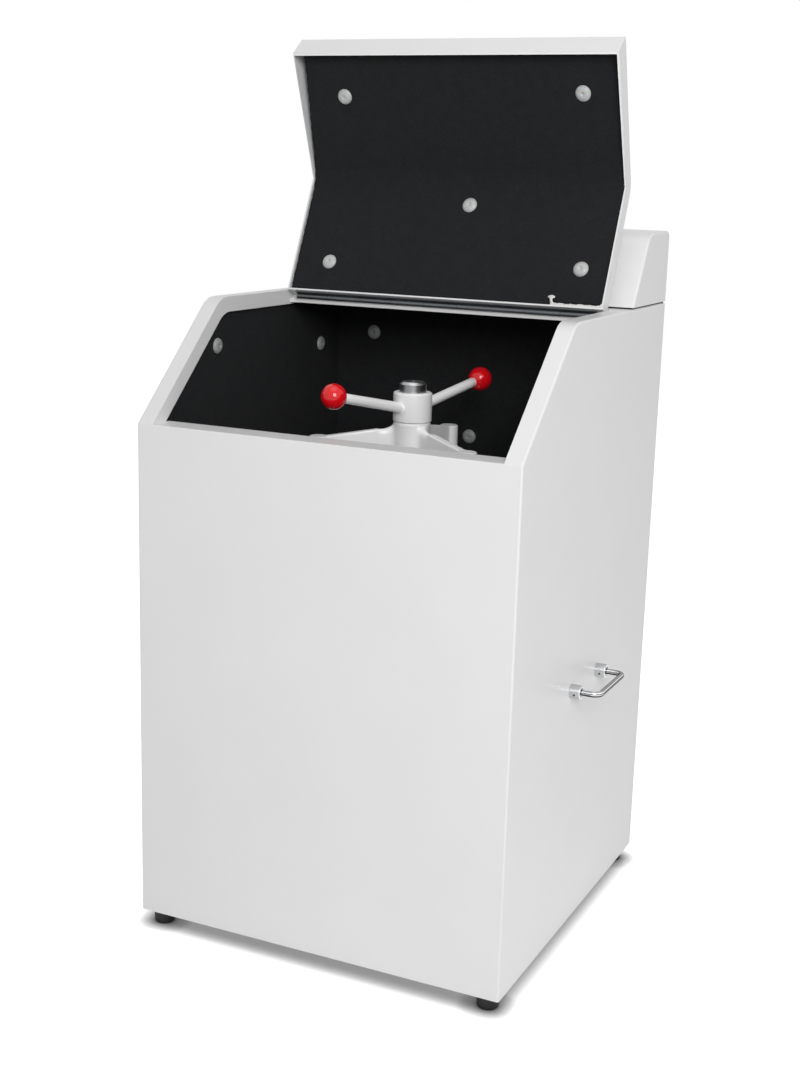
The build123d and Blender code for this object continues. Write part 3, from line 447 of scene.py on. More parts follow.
def solids_of(node):
    """The corner points of each separate solid in a CAD node, sorted by place."""
    copy = merged_copy(node)
    bpy.ops.object.select_all(action="DESELECT")
    bpy.context.view_layer.objects.active = copy
    copy.select_set(True)
    bpy.ops.mesh.separate(type="LOOSE")
    found = []
    for part in list(bpy.context.selected_objects):
        points = np.empty(len(part.data.vertices) * 3, dtype=np.float32)
        part.data.vertices.foreach_get("co", points)
        found.append(points.reshape(-1, 3).astype(float))
        mesh = part.data
        bpy.data.objects.remove(part)
        bpy.data.meshes.remove(mesh)
    return sorted(found, key=lambda points: tuple(points.mean(axis=0).round(4)))


def middle_of(points):
    """The middle of a solid's box."""
    return (points.min(axis=0) + points.max(axis=0)) / 2


print("a 4 by 3 grid has", quads(4, 3).reshape(-1, 4).shape[0], "quads")

# %% [markdown]
# ## The foam's push-in buttons
# Each nylon button is a low dome with a dimple where the moulding gate was. In the frame it
# is a plain frustum, so the wide end gives its seat and the way from the wide end to the
# narrow end gives its direction. The dome is then a turned profile on that seat. Those in
# the chamber sit in its shade, so their nylon is painted greyer than the lid's: painted shade.

# %% Foam buttons
def button_seats(node):
    """Seat and direction of each frustum, whose axis is where its points vary least."""
    seats = []
    for points in solids_of(node):
        middle = middle_of(points)
        axis = np.linalg.svd(points - points.mean(axis=0))[2][2]
        height = (points - middle) @ axis
        spread = np.linalg.norm((points - middle) - height[:, None] * axis, axis=1)
        axis = axis if spread[height < 0].max() > spread[height > 0].max() else -axis
        seats.append((middle - axis * np.ptp(height) / 2, axis))
    return seats


BUTTON_PROFILE = [(0, 3.3), (1.3, 3.35), (2.1, 3.9), (2.7, 4.55), (3.6, 4.75), (5.5, 4.6), (7.6, 4.1),
                  (9.4, 3.2), (10.7, 2.0), (11.3, 0.9), (11.5, 0.3), (11.4, 0.02), (0, 0.02)]

# Painted shade: the chamber's buttons take a greyer nylon, since less light reaches them there.
nylon_with_painted_shade = moulded("nylon_with_painted_shade", "#8E9090", "#9C9E9E", 2.0, 0.05, {"Roughness": 0.5})
for node, body, look in (("lid_foam_buttons", "lid", nylon),
                         ("wall_foam_buttons", "cabinet", nylon_with_painted_shade)):
    buttons = turned(f"{node}_moulded", BUTTON_PROFILE, button_seats(node), look, 40, sharp=60)
    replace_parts(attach(buttons, body), node)
    print(node, "made as", len(button_seats(node)), "domes")

# %% [markdown]
# ## Foam boards
# The lining is cut from flat foam board, so each board is a grid with a back that lies on the
# sheet metal and a face one thickness away. The face sinks a little round each button, where
# the button's barb pulls the foam in, and it rolls off over the last millimetres at its cut
# edges. The lid's board is bent with the lid. It is worked out closed, in side view, and then
# turned about the hinge by the angle at which the lid stands open.

# %% Foam board helpers
def board(name, back, normal, height, material):
    """A closed board from a grid of back points: face = back + normal * height."""
    face = back + normal * height[..., None]
    rows, columns = height.shape
    top = quads(rows, columns).reshape(-1, 4)
    rim = np.concatenate([np.arange(columns), (np.arange(1, rows)) * columns + columns - 1,
                          (rows - 1) * columns + np.arange(columns - 2, -1, -1),
                          np.arange(rows - 2, 0, -1) * columns])
    nearer, count = np.roll(rim, -1), rows * columns
    wall = np.stack([rim, nearer, nearer + count, rim + count], axis=-1)
    points = np.concatenate([face.reshape(-1, 3), back.reshape(-1, 3)])
    return piece(name, points, np.concatenate([top, top[:, ::-1] + count, wall]), material, sharp=50)


def rolled(distance, roll):
    """How far a face has dropped at a distance from its cut edge: a quarter circle of that radius."""
    inside = np.clip(1 - distance / roll, 0, 1)
    return roll * (1 - np.sqrt(1 - inside ** 2))


def sunk(points, seats, depth, reach):
    """How far the face is pulled in round the buttons: depth * exp(-(distance / reach) ** 2)."""
    total = np.zeros(points.shape[:-1])
    for seat, _ in seats:
        total += depth * np.exp(-(np.linalg.norm(points - seat, axis=-1) / reach) ** 2)
    return total


def graded(start, end, steps, edge=6 * MM):
    """Places from start to end, closer together over the last few millimetres at both ends."""
    nearby = np.array((0, 0.04, 0.15, 0.32, 0.6, 1.0)) * edge
    inner = np.linspace(start + edge, end - edge, steps)
    return np.concatenate([start + nearby[:-1], inner, end - nearby[:-1][::-1]])


print("a graded line of 60 steps has", len(graded(0, 1, 60, 0.05)), "places")

# %% Foam boards on the cabinet's walls
SHELL_LOW, SHELL_HIGH = box_of("cabinet_shell")
FRONT_FACE, DECK_TOP = SHELL_LOW[1], SHELL_HIGH[2]
FRONT_HEIGHT, SLOPE_RUN, BEND_RADIUS = 716 * MM, 174 * MM, 42 * MM
FRONT_TOP = SHELL_LOW[2] + FRONT_HEIGHT
SLOPE_RISE = DECK_TOP - FRONT_TOP
SLOPE_ANGLE = np.arctan2(SLOPE_RISE, SLOPE_RUN)
BOARD_ROLL, BUTTON_SINK, BUTTON_REACH = 1.6 * MM, 2.4 * MM, 17 * MM
BOARD_STEPS, DEPTH_STEPS = 60, 150
wall_seats = button_seats("wall_foam_buttons")


def flat_board(name, low, high, out_axis, out_sign):
    """A flat board in the box of its solid, with its face towards one side of the box."""
    across_axis, up_axis = [axis for axis in range(3) if axis != out_axis]
    across_at = graded(low[across_axis], high[across_axis], BOARD_STEPS)
    up_at = graded(low[up_axis], high[up_axis], BOARD_STEPS)
    back = np.zeros((len(across_at), len(up_at), 3))
    back[..., across_axis], back[..., up_axis] = across_at[:, None], up_at[None, :]
    back[..., out_axis] = low[out_axis] if out_sign > 0 else high[out_axis]
    normal = np.zeros(3)
    normal[out_axis] = out_sign
    thick = high[out_axis] - low[out_axis]
    from_sides = np.minimum(across_at - low[across_axis], high[across_axis] - across_at)
    from_ends = np.minimum(up_at - low[up_axis], high[up_axis] - up_at)
    edge = np.minimum(from_sides[:, None], from_ends[None, :])
    face = back + normal * thick
    height = thick - rolled(edge, BOARD_ROLL) - sunk(face, wall_seats, BUTTON_SINK, BUTTON_REACH)
    return board(name, back, normal, height, foam)


def roof_line(forward):
    """Height under the folded roof at a distance behind the front: slope, bend arc, then deck."""
    slope = FRONT_TOP + forward * np.tan(SLOPE_ANGLE)
    reach = BEND_RADIUS * np.tan(SLOPE_ANGLE / 2)
    centre_y, centre_z = SLOPE_RUN + reach, DECK_TOP - BEND_RADIUS
    bend = centre_z + np.sqrt(np.clip(BEND_RADIUS ** 2 - (forward - centre_y) ** 2, 0, None))
    start = SLOPE_RUN - reach * np.cos(SLOPE_ANGLE)
    return np.where(forward < start, slope, np.where(forward < centre_y, bend, DECK_TOP))


def side_board(node, side):
    """A side board: height runs from the floor to just under the roof line at each depth."""
    low, high = box_of(node)
    depth_at, share = graded(low[1], high[1], DEPTH_STEPS), graded(0, 1, BOARD_STEPS, edge=0.008)
    forward = depth_at - FRONT_FACE
    tilt = np.where(forward < SLOPE_RUN, SLOPE_ANGLE, 0)
    top = np.minimum(roof_line(forward) - (DECK_TOP - high[2]) / np.cos(tilt), high[2])
    back = np.zeros((len(depth_at), len(share), 3))
    back[..., 0] = high[0] if side > 0 else low[0]
    back[..., 1] = depth_at[:, None]
    back[..., 2] = low[2] + share[None, :] * (top[:, None] - low[2])
    thick = high[0] - low[0]
    normal = np.array((-side, 0.0, 0.0))
    edge = np.minimum(np.minimum(depth_at - low[1], high[1] - depth_at)[:, None],
                      np.minimum(back[..., 2] - low[2], top[:, None] - back[..., 2]))
    face = back + normal * thick
    height = thick - rolled(edge, BOARD_ROLL) - sunk(face, wall_seats, BUTTON_SINK, BUTTON_REACH)
    return board(f"{node}_board", back, normal, height, foam)


for name, axis, sign in (("foam_front", 1, 1), ("foam_rear", 1, -1)):
    lining = flat_board(f"{name}_board", *box_of(name), axis, sign)
    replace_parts(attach(lining, "cabinet"), name)
for name, side in (("foam_left", -1), ("foam_right", 1)):
    lining = side_board(name, side)
    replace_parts(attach(lining, "cabinet"), name)
print("foam boards on the walls: 4")

# %% [markdown]
# ## The lid's board, its torn corner and the rim's hem
# One thick board of foam is bent to the lid and stays a little behind its rim. In side view
# it is a straight, an arc and a straight, once at its back and once at its face, where the
# foam bulges and the arc is wider. Both lines get the same number of points, so that each
# face point lies over its back point. The board is worked out closed and then turned open
# about the hinge. It was cut by hand: at the upper left it stands off the rim, and at the
# lower right a strip of it has torn away and left a film of glue and a small curled flap.

# %% The lid's profile
HINGE = joint_named("lid_hinge")
HINGE_Y, HINGE_Z = HINGE["pos_m"][1:]
LID_OPEN = radians(HINGE["range_deg"][1])
LID_SHEET, LID_FLANGE, LID_FOLD, LID_SETBACK = 1.2 * MM, 23 * MM, 34 * MM, 23.9 * MM
HINGE_CLEARANCE, REST_GAP = 4.5 * MM, 0.6 * MM
LID_REAR, LID_HALF = HINGE_Y - HINGE_CLEARANCE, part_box("lid_shell")[1][0]
KNEE = np.array((FRONT_FACE + SLOPE_RUN, DECK_TOP))
DOWN_SLOPE = np.array((-cos(SLOPE_ANGLE), -sin(SLOPE_ANGLE)))
SLOPE_IN = np.array((sin(SLOPE_ANGLE), -cos(SLOPE_ANGLE)))
LID_TIP = KNEE + DOWN_SLOPE * (np.hypot(SLOPE_RUN, SLOPE_RISE) - LID_SETBACK)
FOLD_DROP = LID_TIP[1] - FRONT_TOP - REST_GAP
FOLD_IN = np.array((FOLD_DROP, np.sqrt(LID_FOLD ** 2 - FOLD_DROP ** 2))) / LID_FOLD
FOLD_DOWN = np.array((FOLD_IN[1], -FOLD_IN[0]))


def lid_corners(inset, end_inset):
    """Rear, knee and front corner of the lid's side view, each wall moved inwards by its inset."""
    rear = np.array((LID_REAR - end_inset, DECK_TOP - inset))
    knee = KNEE + inset * np.array((np.tan(SLOPE_ANGLE / 2), -1))
    front = LID_TIP + np.linalg.solve(np.array((SLOPE_IN, FOLD_IN)), (inset, end_inset))
    return rear, knee, front


def bent_line(inset, radius, end_inset, steps):
    """Rear straight, arc of the given radius about the bend, front straight, as (y, z) points."""
    rear, knee, front = lid_corners(inset, end_inset)
    reach = radius * np.tan(SLOPE_ANGLE / 2)
    start, end = knee + (reach, 0), knee + DOWN_SLOPE * reach
    turn = np.linspace(0, SLOPE_ANGLE, steps[1])[:, None]
    bend = start - (0, radius) + radius * np.concatenate([-np.sin(turn), np.cos(turn)], axis=1)
    first = graded(0, 1, steps[0], 0.05)[:-1, None]
    last = graded(0, 1, steps[2], 0.05)[1:, None]
    return np.concatenate([rear + first * (start - rear), bend, end + last * (front - end)])


def opened(points):
    """Turn closed points about the hinge's line: y and z go round by the opening angle."""
    y, z = points[..., 1] - HINGE_Y, points[..., 2] - HINGE_Z
    c, s = cos(LID_OPEN), sin(LID_OPEN)
    return np.stack([points[..., 0], HINGE_Y + y * c + z * s, HINGE_Z - y * s + z * c], axis=-1)


def ramp(values, start, end):
    """A smooth step from 0 at start to 1 at end: 3 t^2 - 2 t^3."""
    t = np.clip((values - start) / (end - start), 0, 1)
    return t * t * (3 - 2 * t)


print("lid bend in degrees:", round(float(np.degrees(SLOPE_ANGLE)), 1))

# %% The bent foam board
FOAM_BACK, FOAM_THICK, FOAM_MARGIN, FOAM_SWEEP = 1.4 * MM, 18 * MM, 2 * MM, 55 * MM
TEAR_START, TEAR_DEPTH, TEAR_REACH = 172 * MM, 4.4 * MM, 45 * MM
FINE_FROM, FINE_TO, FINE_STEP = 165, 248, 1.1
CUT_STANDOFF, CUT_FADE, FOAM_SAG = 6.5 * MM, 60 * MM, 0.35 * MM
EDGE_STEPS = np.array((1.0, 0.6, 0.32, 0.15, 0.04, 0)) * 2 * MM


def ragged(places, size):
    """An uneven torn line: three sines whose wavelengths share no multiple."""
    return size * (np.sin(places / (2.3 * MM)) + 0.6 * np.sin(places / (0.91 * MM) + 1.3)
                   + 0.5 * np.sin(places / (5.7 * MM) + 0.4))


def lid_board():
    """Back and face lines of the bend, carried across the lid, less roll-off, dimples and tear."""
    end_inset = LID_SHEET + FOAM_MARGIN
    steps = (60, 26, 60)
    back_line = bent_line(FOAM_BACK, BEND_RADIUS - FOAM_BACK, end_inset, steps)
    face_line = bent_line(FOAM_BACK + FOAM_THICK, FOAM_SWEEP, end_inset, steps)
    half = LID_HALF - end_inset
    across = np.concatenate([graded(-half, FINE_FROM * MM, 90)[:-5],
                             np.arange(FINE_FROM, FINE_TO, FINE_STEP) * MM, half - EDGE_STEPS])
    along = np.r_[0, np.cumsum(np.linalg.norm(np.diff(face_line, axis=0), axis=1))]
    total = along[-1]
    tear = ramp(across, TEAR_START, TEAR_START + 3 * MM)
    torn = tear * (TEAR_DEPTH + ragged(across, 0.45 * MM))
    recess = torn[None, :] * (1 - ramp(along, 0, TEAR_REACH))[:, None]
    standoff = CUT_STANDOFF * ramp(along, 0.42 * total, 0.98 * total) + ragged(along, 0.25 * MM)
    fade = 1 - ramp(across, -half, -half + CUT_FADE)
    side = across[None, :] + standoff[:, None] * fade[None, :]
    grid = [np.stack([side, line[:, :1] - recess, np.broadcast_to(line[:, 1:], side.shape)], axis=-1)
            for line in (back_line, face_line)]
    back, face = opened(grid[0]), opened(grid[1])
    thick = np.linalg.norm(face - back, axis=-1)
    from_ends = np.minimum(along, total - along)[:, None]
    edge = np.minimum(from_ends, np.minimum(across + half, half - across)[None, :])
    sag = FOAM_SAG * (1 + np.sin(side / 0.071) * np.sin(along / 0.053)[:, None])
    seats = button_seats("lid_foam_buttons")
    height = thick - rolled(edge, BOARD_ROLL) - sunk(face, seats, BUTTON_SINK, BUTTON_REACH) - sag
    return board("lid_foam_board", back, (face - back) / thick[..., None], height, foam)


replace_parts(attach(lid_board(), "lid"), "lid_foam")
print("lid foam runs from the hinge to the front fold")

# %% Torn film, its flap and the hem
GLUE_SHEET = 0.5 * MM
FILM_HEIGHT, FILM_PEAK, FILM_END = 4.6 * MM, 5 * MM, 2.6 * MM
FLAP_LENGTH, FLAP_LIFT, HEM_WIDTH, HEM_DEPTH = 16.2, 3.2 * MM, 1.2 * MM, 3 * MM


def strip(name, across, along, lift, material):
    """A thin sheet on the foam's face: x and distance from the rim are given, lift stands it off."""
    y, z = LID_REAR - LID_SHEET - along, DECK_TOP - FOAM_BACK - FOAM_THICK - lift
    back = opened(np.stack([across, y, z], axis=-1))
    normal = opened(np.array((0, HINGE_Y, HINGE_Z - 1.0))) - (0, HINGE_Y, HINGE_Z)
    return board(name, back, normal, np.full(across.shape, GLUE_SHEET), material)


def torn_film():
    """A ragged film along the tear, highest where the flap starts, curling at its free edge."""
    across = np.linspace(TEAR_START, LID_HALF - LID_SHEET - 0.4 * MM, 110)
    height = (FILM_HEIGHT + ragged(across + 3 * MM, 0.35 * MM)
              + FILM_PEAK * np.exp(-(across - TEAR_START) / (3 * MM))
              + FILM_END * np.exp(-((across - 248 * MM) / (1.3 * MM)) ** 2))
    share = np.linspace(0, 1, 9)[:, None]
    lift = (0.2 + 1.5 * share ** 2) * MM + ragged(across, 0.12 * MM) * share
    return strip("torn_film", np.broadcast_to(across, lift.shape), share * height, lift, glue_film)


def torn_flap():
    """A T-shaped flap: its half width is read off along its length, and it curls off the foam."""
    along = np.linspace(0, FLAP_LENGTH, 34) * MM
    half = np.interp(along, np.array((0, 1.5, 4, 9, 11, 12.5, 15, FLAP_LENGTH)) * MM,
                     np.array((4.6, 3.0, 2.2, 1.9, 2.6, 5.4, 4.8, 1.2)) * MM)
    wander = 0.5 * MM * np.sin(along / (2.1 * MM))
    middle = TEAR_START + 3 * MM - 2.4 * MM * along / along[-1] + wander
    share = np.linspace(-1, 1, 9)[None, :]
    curl = FLAP_LIFT * np.sin(pi * along / (19 * MM))[:, None]
    lift = 0.6 * MM + curl * (1 - 0.35 * share ** 2)
    across = middle[:, None] + half[:, None] * share
    return strip("torn_flap", across, np.broadcast_to(along[:, None], lift.shape), lift, glue_film)


def rim_hem(width, depth):
    """The rim's folded-in edge: a closed loop of six corners with a four-cornered section."""
    inner, loops = LID_SHEET + width, []
    for inset, reach in ((LID_SHEET, 0), (inner, 0), (inner, depth), (LID_SHEET, depth)):
        rear = np.array((LID_REAR - inset, DECK_TOP - LID_FLANGE + reach))
        knee = KNEE + (LID_FLANGE - reach) * np.array((np.tan(SLOPE_ANGLE / 2), -1))
        front = lid_corners(inset, inset)[2] + FOLD_DOWN * (LID_FOLD - reach)
        line = np.array((rear, knee, front))
        right = np.column_stack([np.full(3, LID_HALF - inset), line])
        left = np.column_stack([np.full(3, inset - LID_HALF), line])[::-1]
        loops.append(np.concatenate([right, left]))
    points = opened(np.stack(loops, axis=1))
    return piece("lid_rim_hem", points, quads(6, 4, close_rows=True, close_columns=True), powder)


glue_film = moulded("dried_contact_glue", "#D2D2CF", "#E2E2E0", 1.0, 0.2, {"Roughness": 0.5})
for part in (torn_film(), torn_flap()):
    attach(part, "lid")
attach(rim_hem(HEM_WIDTH, HEM_DEPTH), "lid")
print("film, flap and hem added to the lid")

# %% [markdown]
# ## Round pieces and where they sit
# Most of the machine's inside is turned on a lathe, so each such piece is a half section
# carried round its axis. The frame's solid gives the seat, the length and the radius, and
# only the rounds that a lathe or paint leaves are added here. Small rounds matter more than
# they look: they are what catches a thin bright line along an edge.

# %% Helpers for round pieces
UP = (0.0, 0.0, 1.0)


def round_solid(points, direction):
    """Seat, length and radius in mm of a round solid along a direction, from its points."""
    axes = np.array(axes_about(direction))
    local = points @ axes.T
    low, high = local.min(axis=0), local.max(axis=0)
    middle = (low + high) / 2
    seat = np.array((middle[0], middle[1], low[2])) @ axes
    return seat, (high[2] - low[2]) / MM, (high[0] - low[0]) / 2 / MM


def eased(points, rounds, steps=6):
    """A half section with some corners rounded: point i gets an arc tangent to both its legs."""
    path = []
    for index, corner in enumerate(points):
        if index not in rounds:
            path.append(corner)
            continue
        here = np.array(corner, float)
        before, after = (np.array(points[(index + step) % len(points)], float) for step in (-1, 1))
        to_before, to_after = before - here, after - here
        to_before = to_before / np.linalg.norm(to_before)
        to_after = to_after / np.linalg.norm(to_after)
        half = np.arccos(np.clip(to_before @ to_after, -1, 1)) / 2
        reach = rounds[index] / np.tan(half)
        share = np.linspace(0, 1, steps)[:, None]
        start, end = here + to_before * reach, here + to_after * reach
        inward = (to_before + to_after) / np.linalg.norm(to_before + to_after)
        centre = here + inward * rounds[index] / np.sin(half)
        spoke = start + share * (end - start) - centre
        spoke *= rounds[index] / np.linalg.norm(spoke, axis=1)[:, None]
        path += [tuple(point) for point in centre + spoke]
    return path


def add_piece(thing, body, slot, *replaced):
    """Let a piece ride on its body and stand for its CAD nodes; slot is not used."""
    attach(thing, body)
    if replaced:
        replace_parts(thing, *replaced)
    return thing


print("a 2 mm round on a square corner makes", len(eased([(0, 0), (9, 0), (9, 9)], {1: 2})), "points")

# %% [markdown]
# ## The clamp nut, its levers and the ball knobs
# The nut is a painted sleeve. Its top edge is well rounded and a dark thin gap separates it
# from the boss below. Each lever is a painted steel rod, and the paint gathers in a small
# fillet where the rod enters the nut: there the rod's radius grows by an exponential. The
# knob is a moulded ball with a small flat on the lever's side.

# %% Nut, levers and knobs
LEVER_SEAT = np.array(joint_named("nut_turn")["pos_m"])
NUT_BORE, NUT_CROWN = 19.45, 3.0
LEVER_ROOT, LEVER_TIP, LEVER_FILLET = 7.4, 7.1, 3.4
LEVER_SPIGOT, SPIGOT_LENGTH, LEVER_INSIDE = 5.0, 6, 6.0
KNOB_FLAT = 1.2


def lever_direction(name):
    """From the nut's own seat to the middle of the knob."""
    middle = middle_of(np.array(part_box(f"lever_knob_{name}")))
    return (middle - LEVER_SEAT) / np.linalg.norm(middle - LEVER_SEAT)


def nut_profile():
    """Outer wall with a rounded crown, a broken lower edge and a chamfered bore."""
    low, high = (corner / MM for corner in box_of("clamp_nut"))
    radius, height = (high[0] - low[0]) / 2, high[2] - low[2]
    corners = [(NUT_BORE + 1, 0), (radius, 0), (radius, height), (NUT_BORE + 1, height),
               (NUT_BORE, height - 1), (NUT_BORE, 1)]
    return eased(corners, {1: 1.2, 2: NUT_CROWN, 3: 0.5}), radius, height


def lever_profile(nut_radius, knob_near):
    """A rod from inside the nut to inside the knob, with its fillet and a spigot."""
    start, end = nut_radius - LEVER_INSIDE, knob_near
    along = np.r_[np.linspace(start, nut_radius + 9, 34), np.linspace(nut_radius + 14, end - 0.8, 8)]
    straight = LEVER_ROOT + (LEVER_TIP - LEVER_ROOT) * (along - start) / (end - start)
    past_nut = np.clip(along - nut_radius + 1.0, 0, None)
    radius = straight + LEVER_FILLET * np.exp(-past_nut / 1.5)
    tip = [(LEVER_TIP - 0.5, end - 0.1), (LEVER_SPIGOT, end), (LEVER_SPIGOT, end + SPIGOT_LENGTH),
           (0, end + SPIGOT_LENGTH)]
    return [(0, start)] + list(zip(radius, along)) + tip


def knob_profile(radius):
    """A ball from its flat to its far pole, heights measured from its middle."""
    flat = radius - KNOB_FLAT
    start = np.degrees(np.arcsin(-flat / radius))
    ball = arc((0, 0), radius, start + 1.2, 90, 44)
    return [(0, -flat), (np.sqrt(radius ** 2 - flat ** 2) - 0.5, -flat)] + ball[:-1] + [(0, radius)]


profile, nut_radius, nut_height = nut_profile()
post_low, post_high = box_of("clamp_post")
post_axis = middle_of(np.array((post_low, post_high)))
nut_seat = np.array((post_axis[0], post_axis[1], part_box("clamp_nut")[0][2]))
add_piece(turned("clamp_nut_painted", profile, [(nut_seat, UP)], cast_paint, 128, ring=True, sharp=50),
          "nut", "press_paint", "clamp_nut")
for name in ("front", "rear"):
    direction = lever_direction(name)
    knob_box = np.array(box_of(f"lever_knob_{name}"))
    knob_radius = np.ptp(knob_box, axis=0).max() / 2 / MM
    centre = LEVER_SEAT + direction * np.linalg.norm(middle_of(knob_box) - LEVER_SEAT)
    reach = np.linalg.norm(centre - LEVER_SEAT) / MM
    rod = lever_profile(nut_radius, reach - knob_radius + KNOB_FLAT)
    add_piece(turned(f"clamp_lever_{name}_rod", rod, [(LEVER_SEAT, direction)], cast_paint, 72, sharp=50),
              "nut", "press_paint", f"clamp_lever_{name}")
    ball = knob_profile(knob_radius)
    add_piece(turned(f"lever_knob_{name}_ball", ball, [(centre, direction)], knob_red, 72),
              "nut", "red_knob", f"lever_knob_{name}")
print("nut radius", round(nut_radius, 2), "and height", round(nut_height, 2))

# %% [markdown]
# ## The screw post
# The post is ground and polished where it shows above the nut, and carries a trapezoidal
# thread inside it. The thread is cut into the surface by a formula: at each height and angle
# the radius drops by a flat-topped wave of (height / pitch - turn), so that the wave climbs
# one pitch a turn and is a true helix. It runs out smoothly at both ends.

# %% Screw post
THREAD_PITCH, THREAD_DEPTH = 5.0, 1.6
THREAD_LOW, THREAD_RUNOUT = 60.0, 4.0
POST_RADIUS, POST_STEPS = 19.25, 120
COLLAR_RADIUS, COLLAR_LOW, COLLAR_HIGH = 30, 40.0, 46.0


def threaded_post():
    """Radius of the section at each height, less the thread's wave between its two run-outs."""
    length, radius = (post_high[2] - post_low[2]) / MM, POST_RADIUS
    corners = [(0, 0), (radius, 0), (radius, COLLAR_LOW), (COLLAR_RADIUS, COLLAR_LOW),
               (COLLAR_RADIUS, COLLAR_HIGH), (radius, COLLAR_HIGH)]
    lower = eased(corners, {1: 0.8, 3: 1.0, 4: 1.4, 5: 1.5})
    thread_top = (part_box("clamp_nut")[1][2] - post_low[2]) / MM - 2.0
    heights = np.r_[np.arange(THREAD_LOW - 4, thread_top + 3, 0.5), length - 6]
    upper = [(radius, height) for height in heights]
    crown = [(radius, length - 3.8), (radius - 0.5, length - 3.1), (radius - 3.4, length - 0.5),
             (radius - 3.9, length - 0.1), (radius - 4.3, length), (3.4, length), (3.0, length - 0.3),
             (0, length - 3.2)]
    section = lower + upper + crown
    seat = (post_axis[0], post_axis[1], post_low[2])
    points, chart = turned_grid(section, seat, UP, POST_STEPS)
    height = np.array(section)[:, 1][:, None]
    turn = np.linspace(0, 1, POST_STEPS, endpoint=False)[None, :]
    wave = np.abs((height / THREAD_PITCH - turn) % 1 - 0.5) * 2
    groove = np.clip((wave - 0.36) / 0.28, 0, 1)
    ends = ramp(height, THREAD_LOW, THREAD_LOW + THREAD_RUNOUT) * (
        1 - ramp(height, thread_top - THREAD_RUNOUT, thread_top))
    on_wall = (np.array(section)[:, 0] == radius)[:, None]
    shrink = 1 - THREAD_DEPTH / radius * groove * ends * on_wall
    centre = np.array((post_axis[0], post_axis[1], 0))
    flat = points - centre
    flat[..., :2] *= shrink[..., None]
    faces = quads(len(section), POST_STEPS, close_columns=True)
    return piece("clamp_post_ground", flat + centre, faces, post_steel, chart, 30)


add_piece(threaded_post(), "platform", "polished_steel", "clamp_post")
print("post length in mm:", round((post_high[2] - post_low[2]) / MM, 1))

# %% [markdown]
# ## The cast spider
# A casting has no sharp inner corners, because metal and paint fill them. The solid has the
# true webs, boss and feet, so a merged copy of it is remeshed into even small voxels and
# then relaxed. Each pass pulls a point towards its neighbours, which rounds every edge and
# fills every corner by a few millimetres, as the pattern maker's fillets do.

# %% Cast pieces from their solids
FILLET_PASSES = 200
ROOT_NEAR, ROOT_FAR, ROOT_BELOW = 23, 50, 6


def apply_modifiers(thing):
    """Give a piece the mesh that its modifiers make, and clear them."""
    seen = thing.evaluated_get(bpy.context.evaluated_depsgraph_get())
    ready = bpy.data.meshes.new_from_object(seen)
    thing.modifiers.clear()
    thing.data = ready


def cast_copy(node, voxel_mm, passes, material, filled=None):
    """A merged copy of a node, remeshed in even voxels and relaxed; a mask relaxes further."""
    thing = merged_copy(node)
    thing.name = thing.data.name = f"{node}_cast"
    remesh = thing.modifiers.new("voxels", "REMESH")
    remesh.mode, remesh.voxel_size = "VOXEL", voxel_mm * MM
    relax = thing.modifiers.new("relax", "SMOOTH")
    relax.factor, relax.iterations = 0.5, passes
    apply_modifiers(thing)
    if filled is not None:
        points = np.empty(len(thing.data.vertices) * 3, dtype=np.float32)
        thing.data.vertices.foreach_get("co", points)
        inside = np.flatnonzero(filled(points.reshape(-1, 3)))
        thing.vertex_groups.new(name="filled").add(inside.tolist(), 1.0, "REPLACE")
        fillet = thing.modifiers.new("fillet", "SMOOTH")
        fillet.vertex_group, fillet.factor, fillet.iterations = "filled", 0.5, FILLET_PASSES
        apply_modifiers(thing)
        thing.vertex_groups.clear()
    thing.data.materials.clear()
    thing.data.materials.append(material)
    thing.data.shade_smooth()
    return thing


def root_of_webs(points):
    """The zone where the webs run into the boss: a ring round the axis, below the boss's rim."""
    reach = np.hypot(points[:, 0] - post_axis[0], points[:, 1] - post_axis[1]) / MM
    below_rim = (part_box("press_spider")[1][2] - points[:, 2]) / MM
    return (reach > ROOT_NEAR) & (reach < ROOT_FAR) & (below_rim > ROOT_BELOW)


PAD_WALL, PAD_TOP, PAD_CHAMFER = 6, 8, 2
add_piece(cast_copy("press_spider", 1.3, 8, cast_paint, root_of_webs),
          "spider", "press_paint", "press_spider")
add_piece(cast_copy("vibrating_platform", 2.4, 3, iron),
          "platform", "cast_platform", "vibrating_platform")
pads = [round_solid(points, UP) for points in solids_of("press_pads")]
pad_radius = pads[0][2]
pad_profile = eased([(0, 0), (pad_radius, 0), (pad_radius, PAD_WALL), (pad_radius - PAD_CHAMFER, PAD_TOP),
                     (0, PAD_TOP)], {1: 1.0, 2: 1.2, 3: 1.2})
add_piece(turned("press_pads_moulded", pad_profile, [(seat, UP) for seat, _, _ in pads], rubber),
          "spider", "black_rubber", "press_pads")
print("spider, platform and", len(pads), "pads made")

# %% [markdown]
# ## Bowls, covers, seals, rings and pucks
# The grinding set is hardened steel, turned and then ground on its faces. Every node becomes
# a half section with small rounds: a bowl with its broken edges, a cover with a spigot and a
# seal groove, a loose ring and a loose puck. The feed rings follow the section's own length.

# %% The grinding set
BOWL_WALL, BOWL_CORNER, COVER_BASE = 14, 4.0, 6.5
GROOVE_INSET, GROOVE_HALF, GROOVE_DEPTH, SPIGOT_INSET = 7, 2.1, 2, 15
RING_WALL, SEAL_WALL = 12.0, 4.0


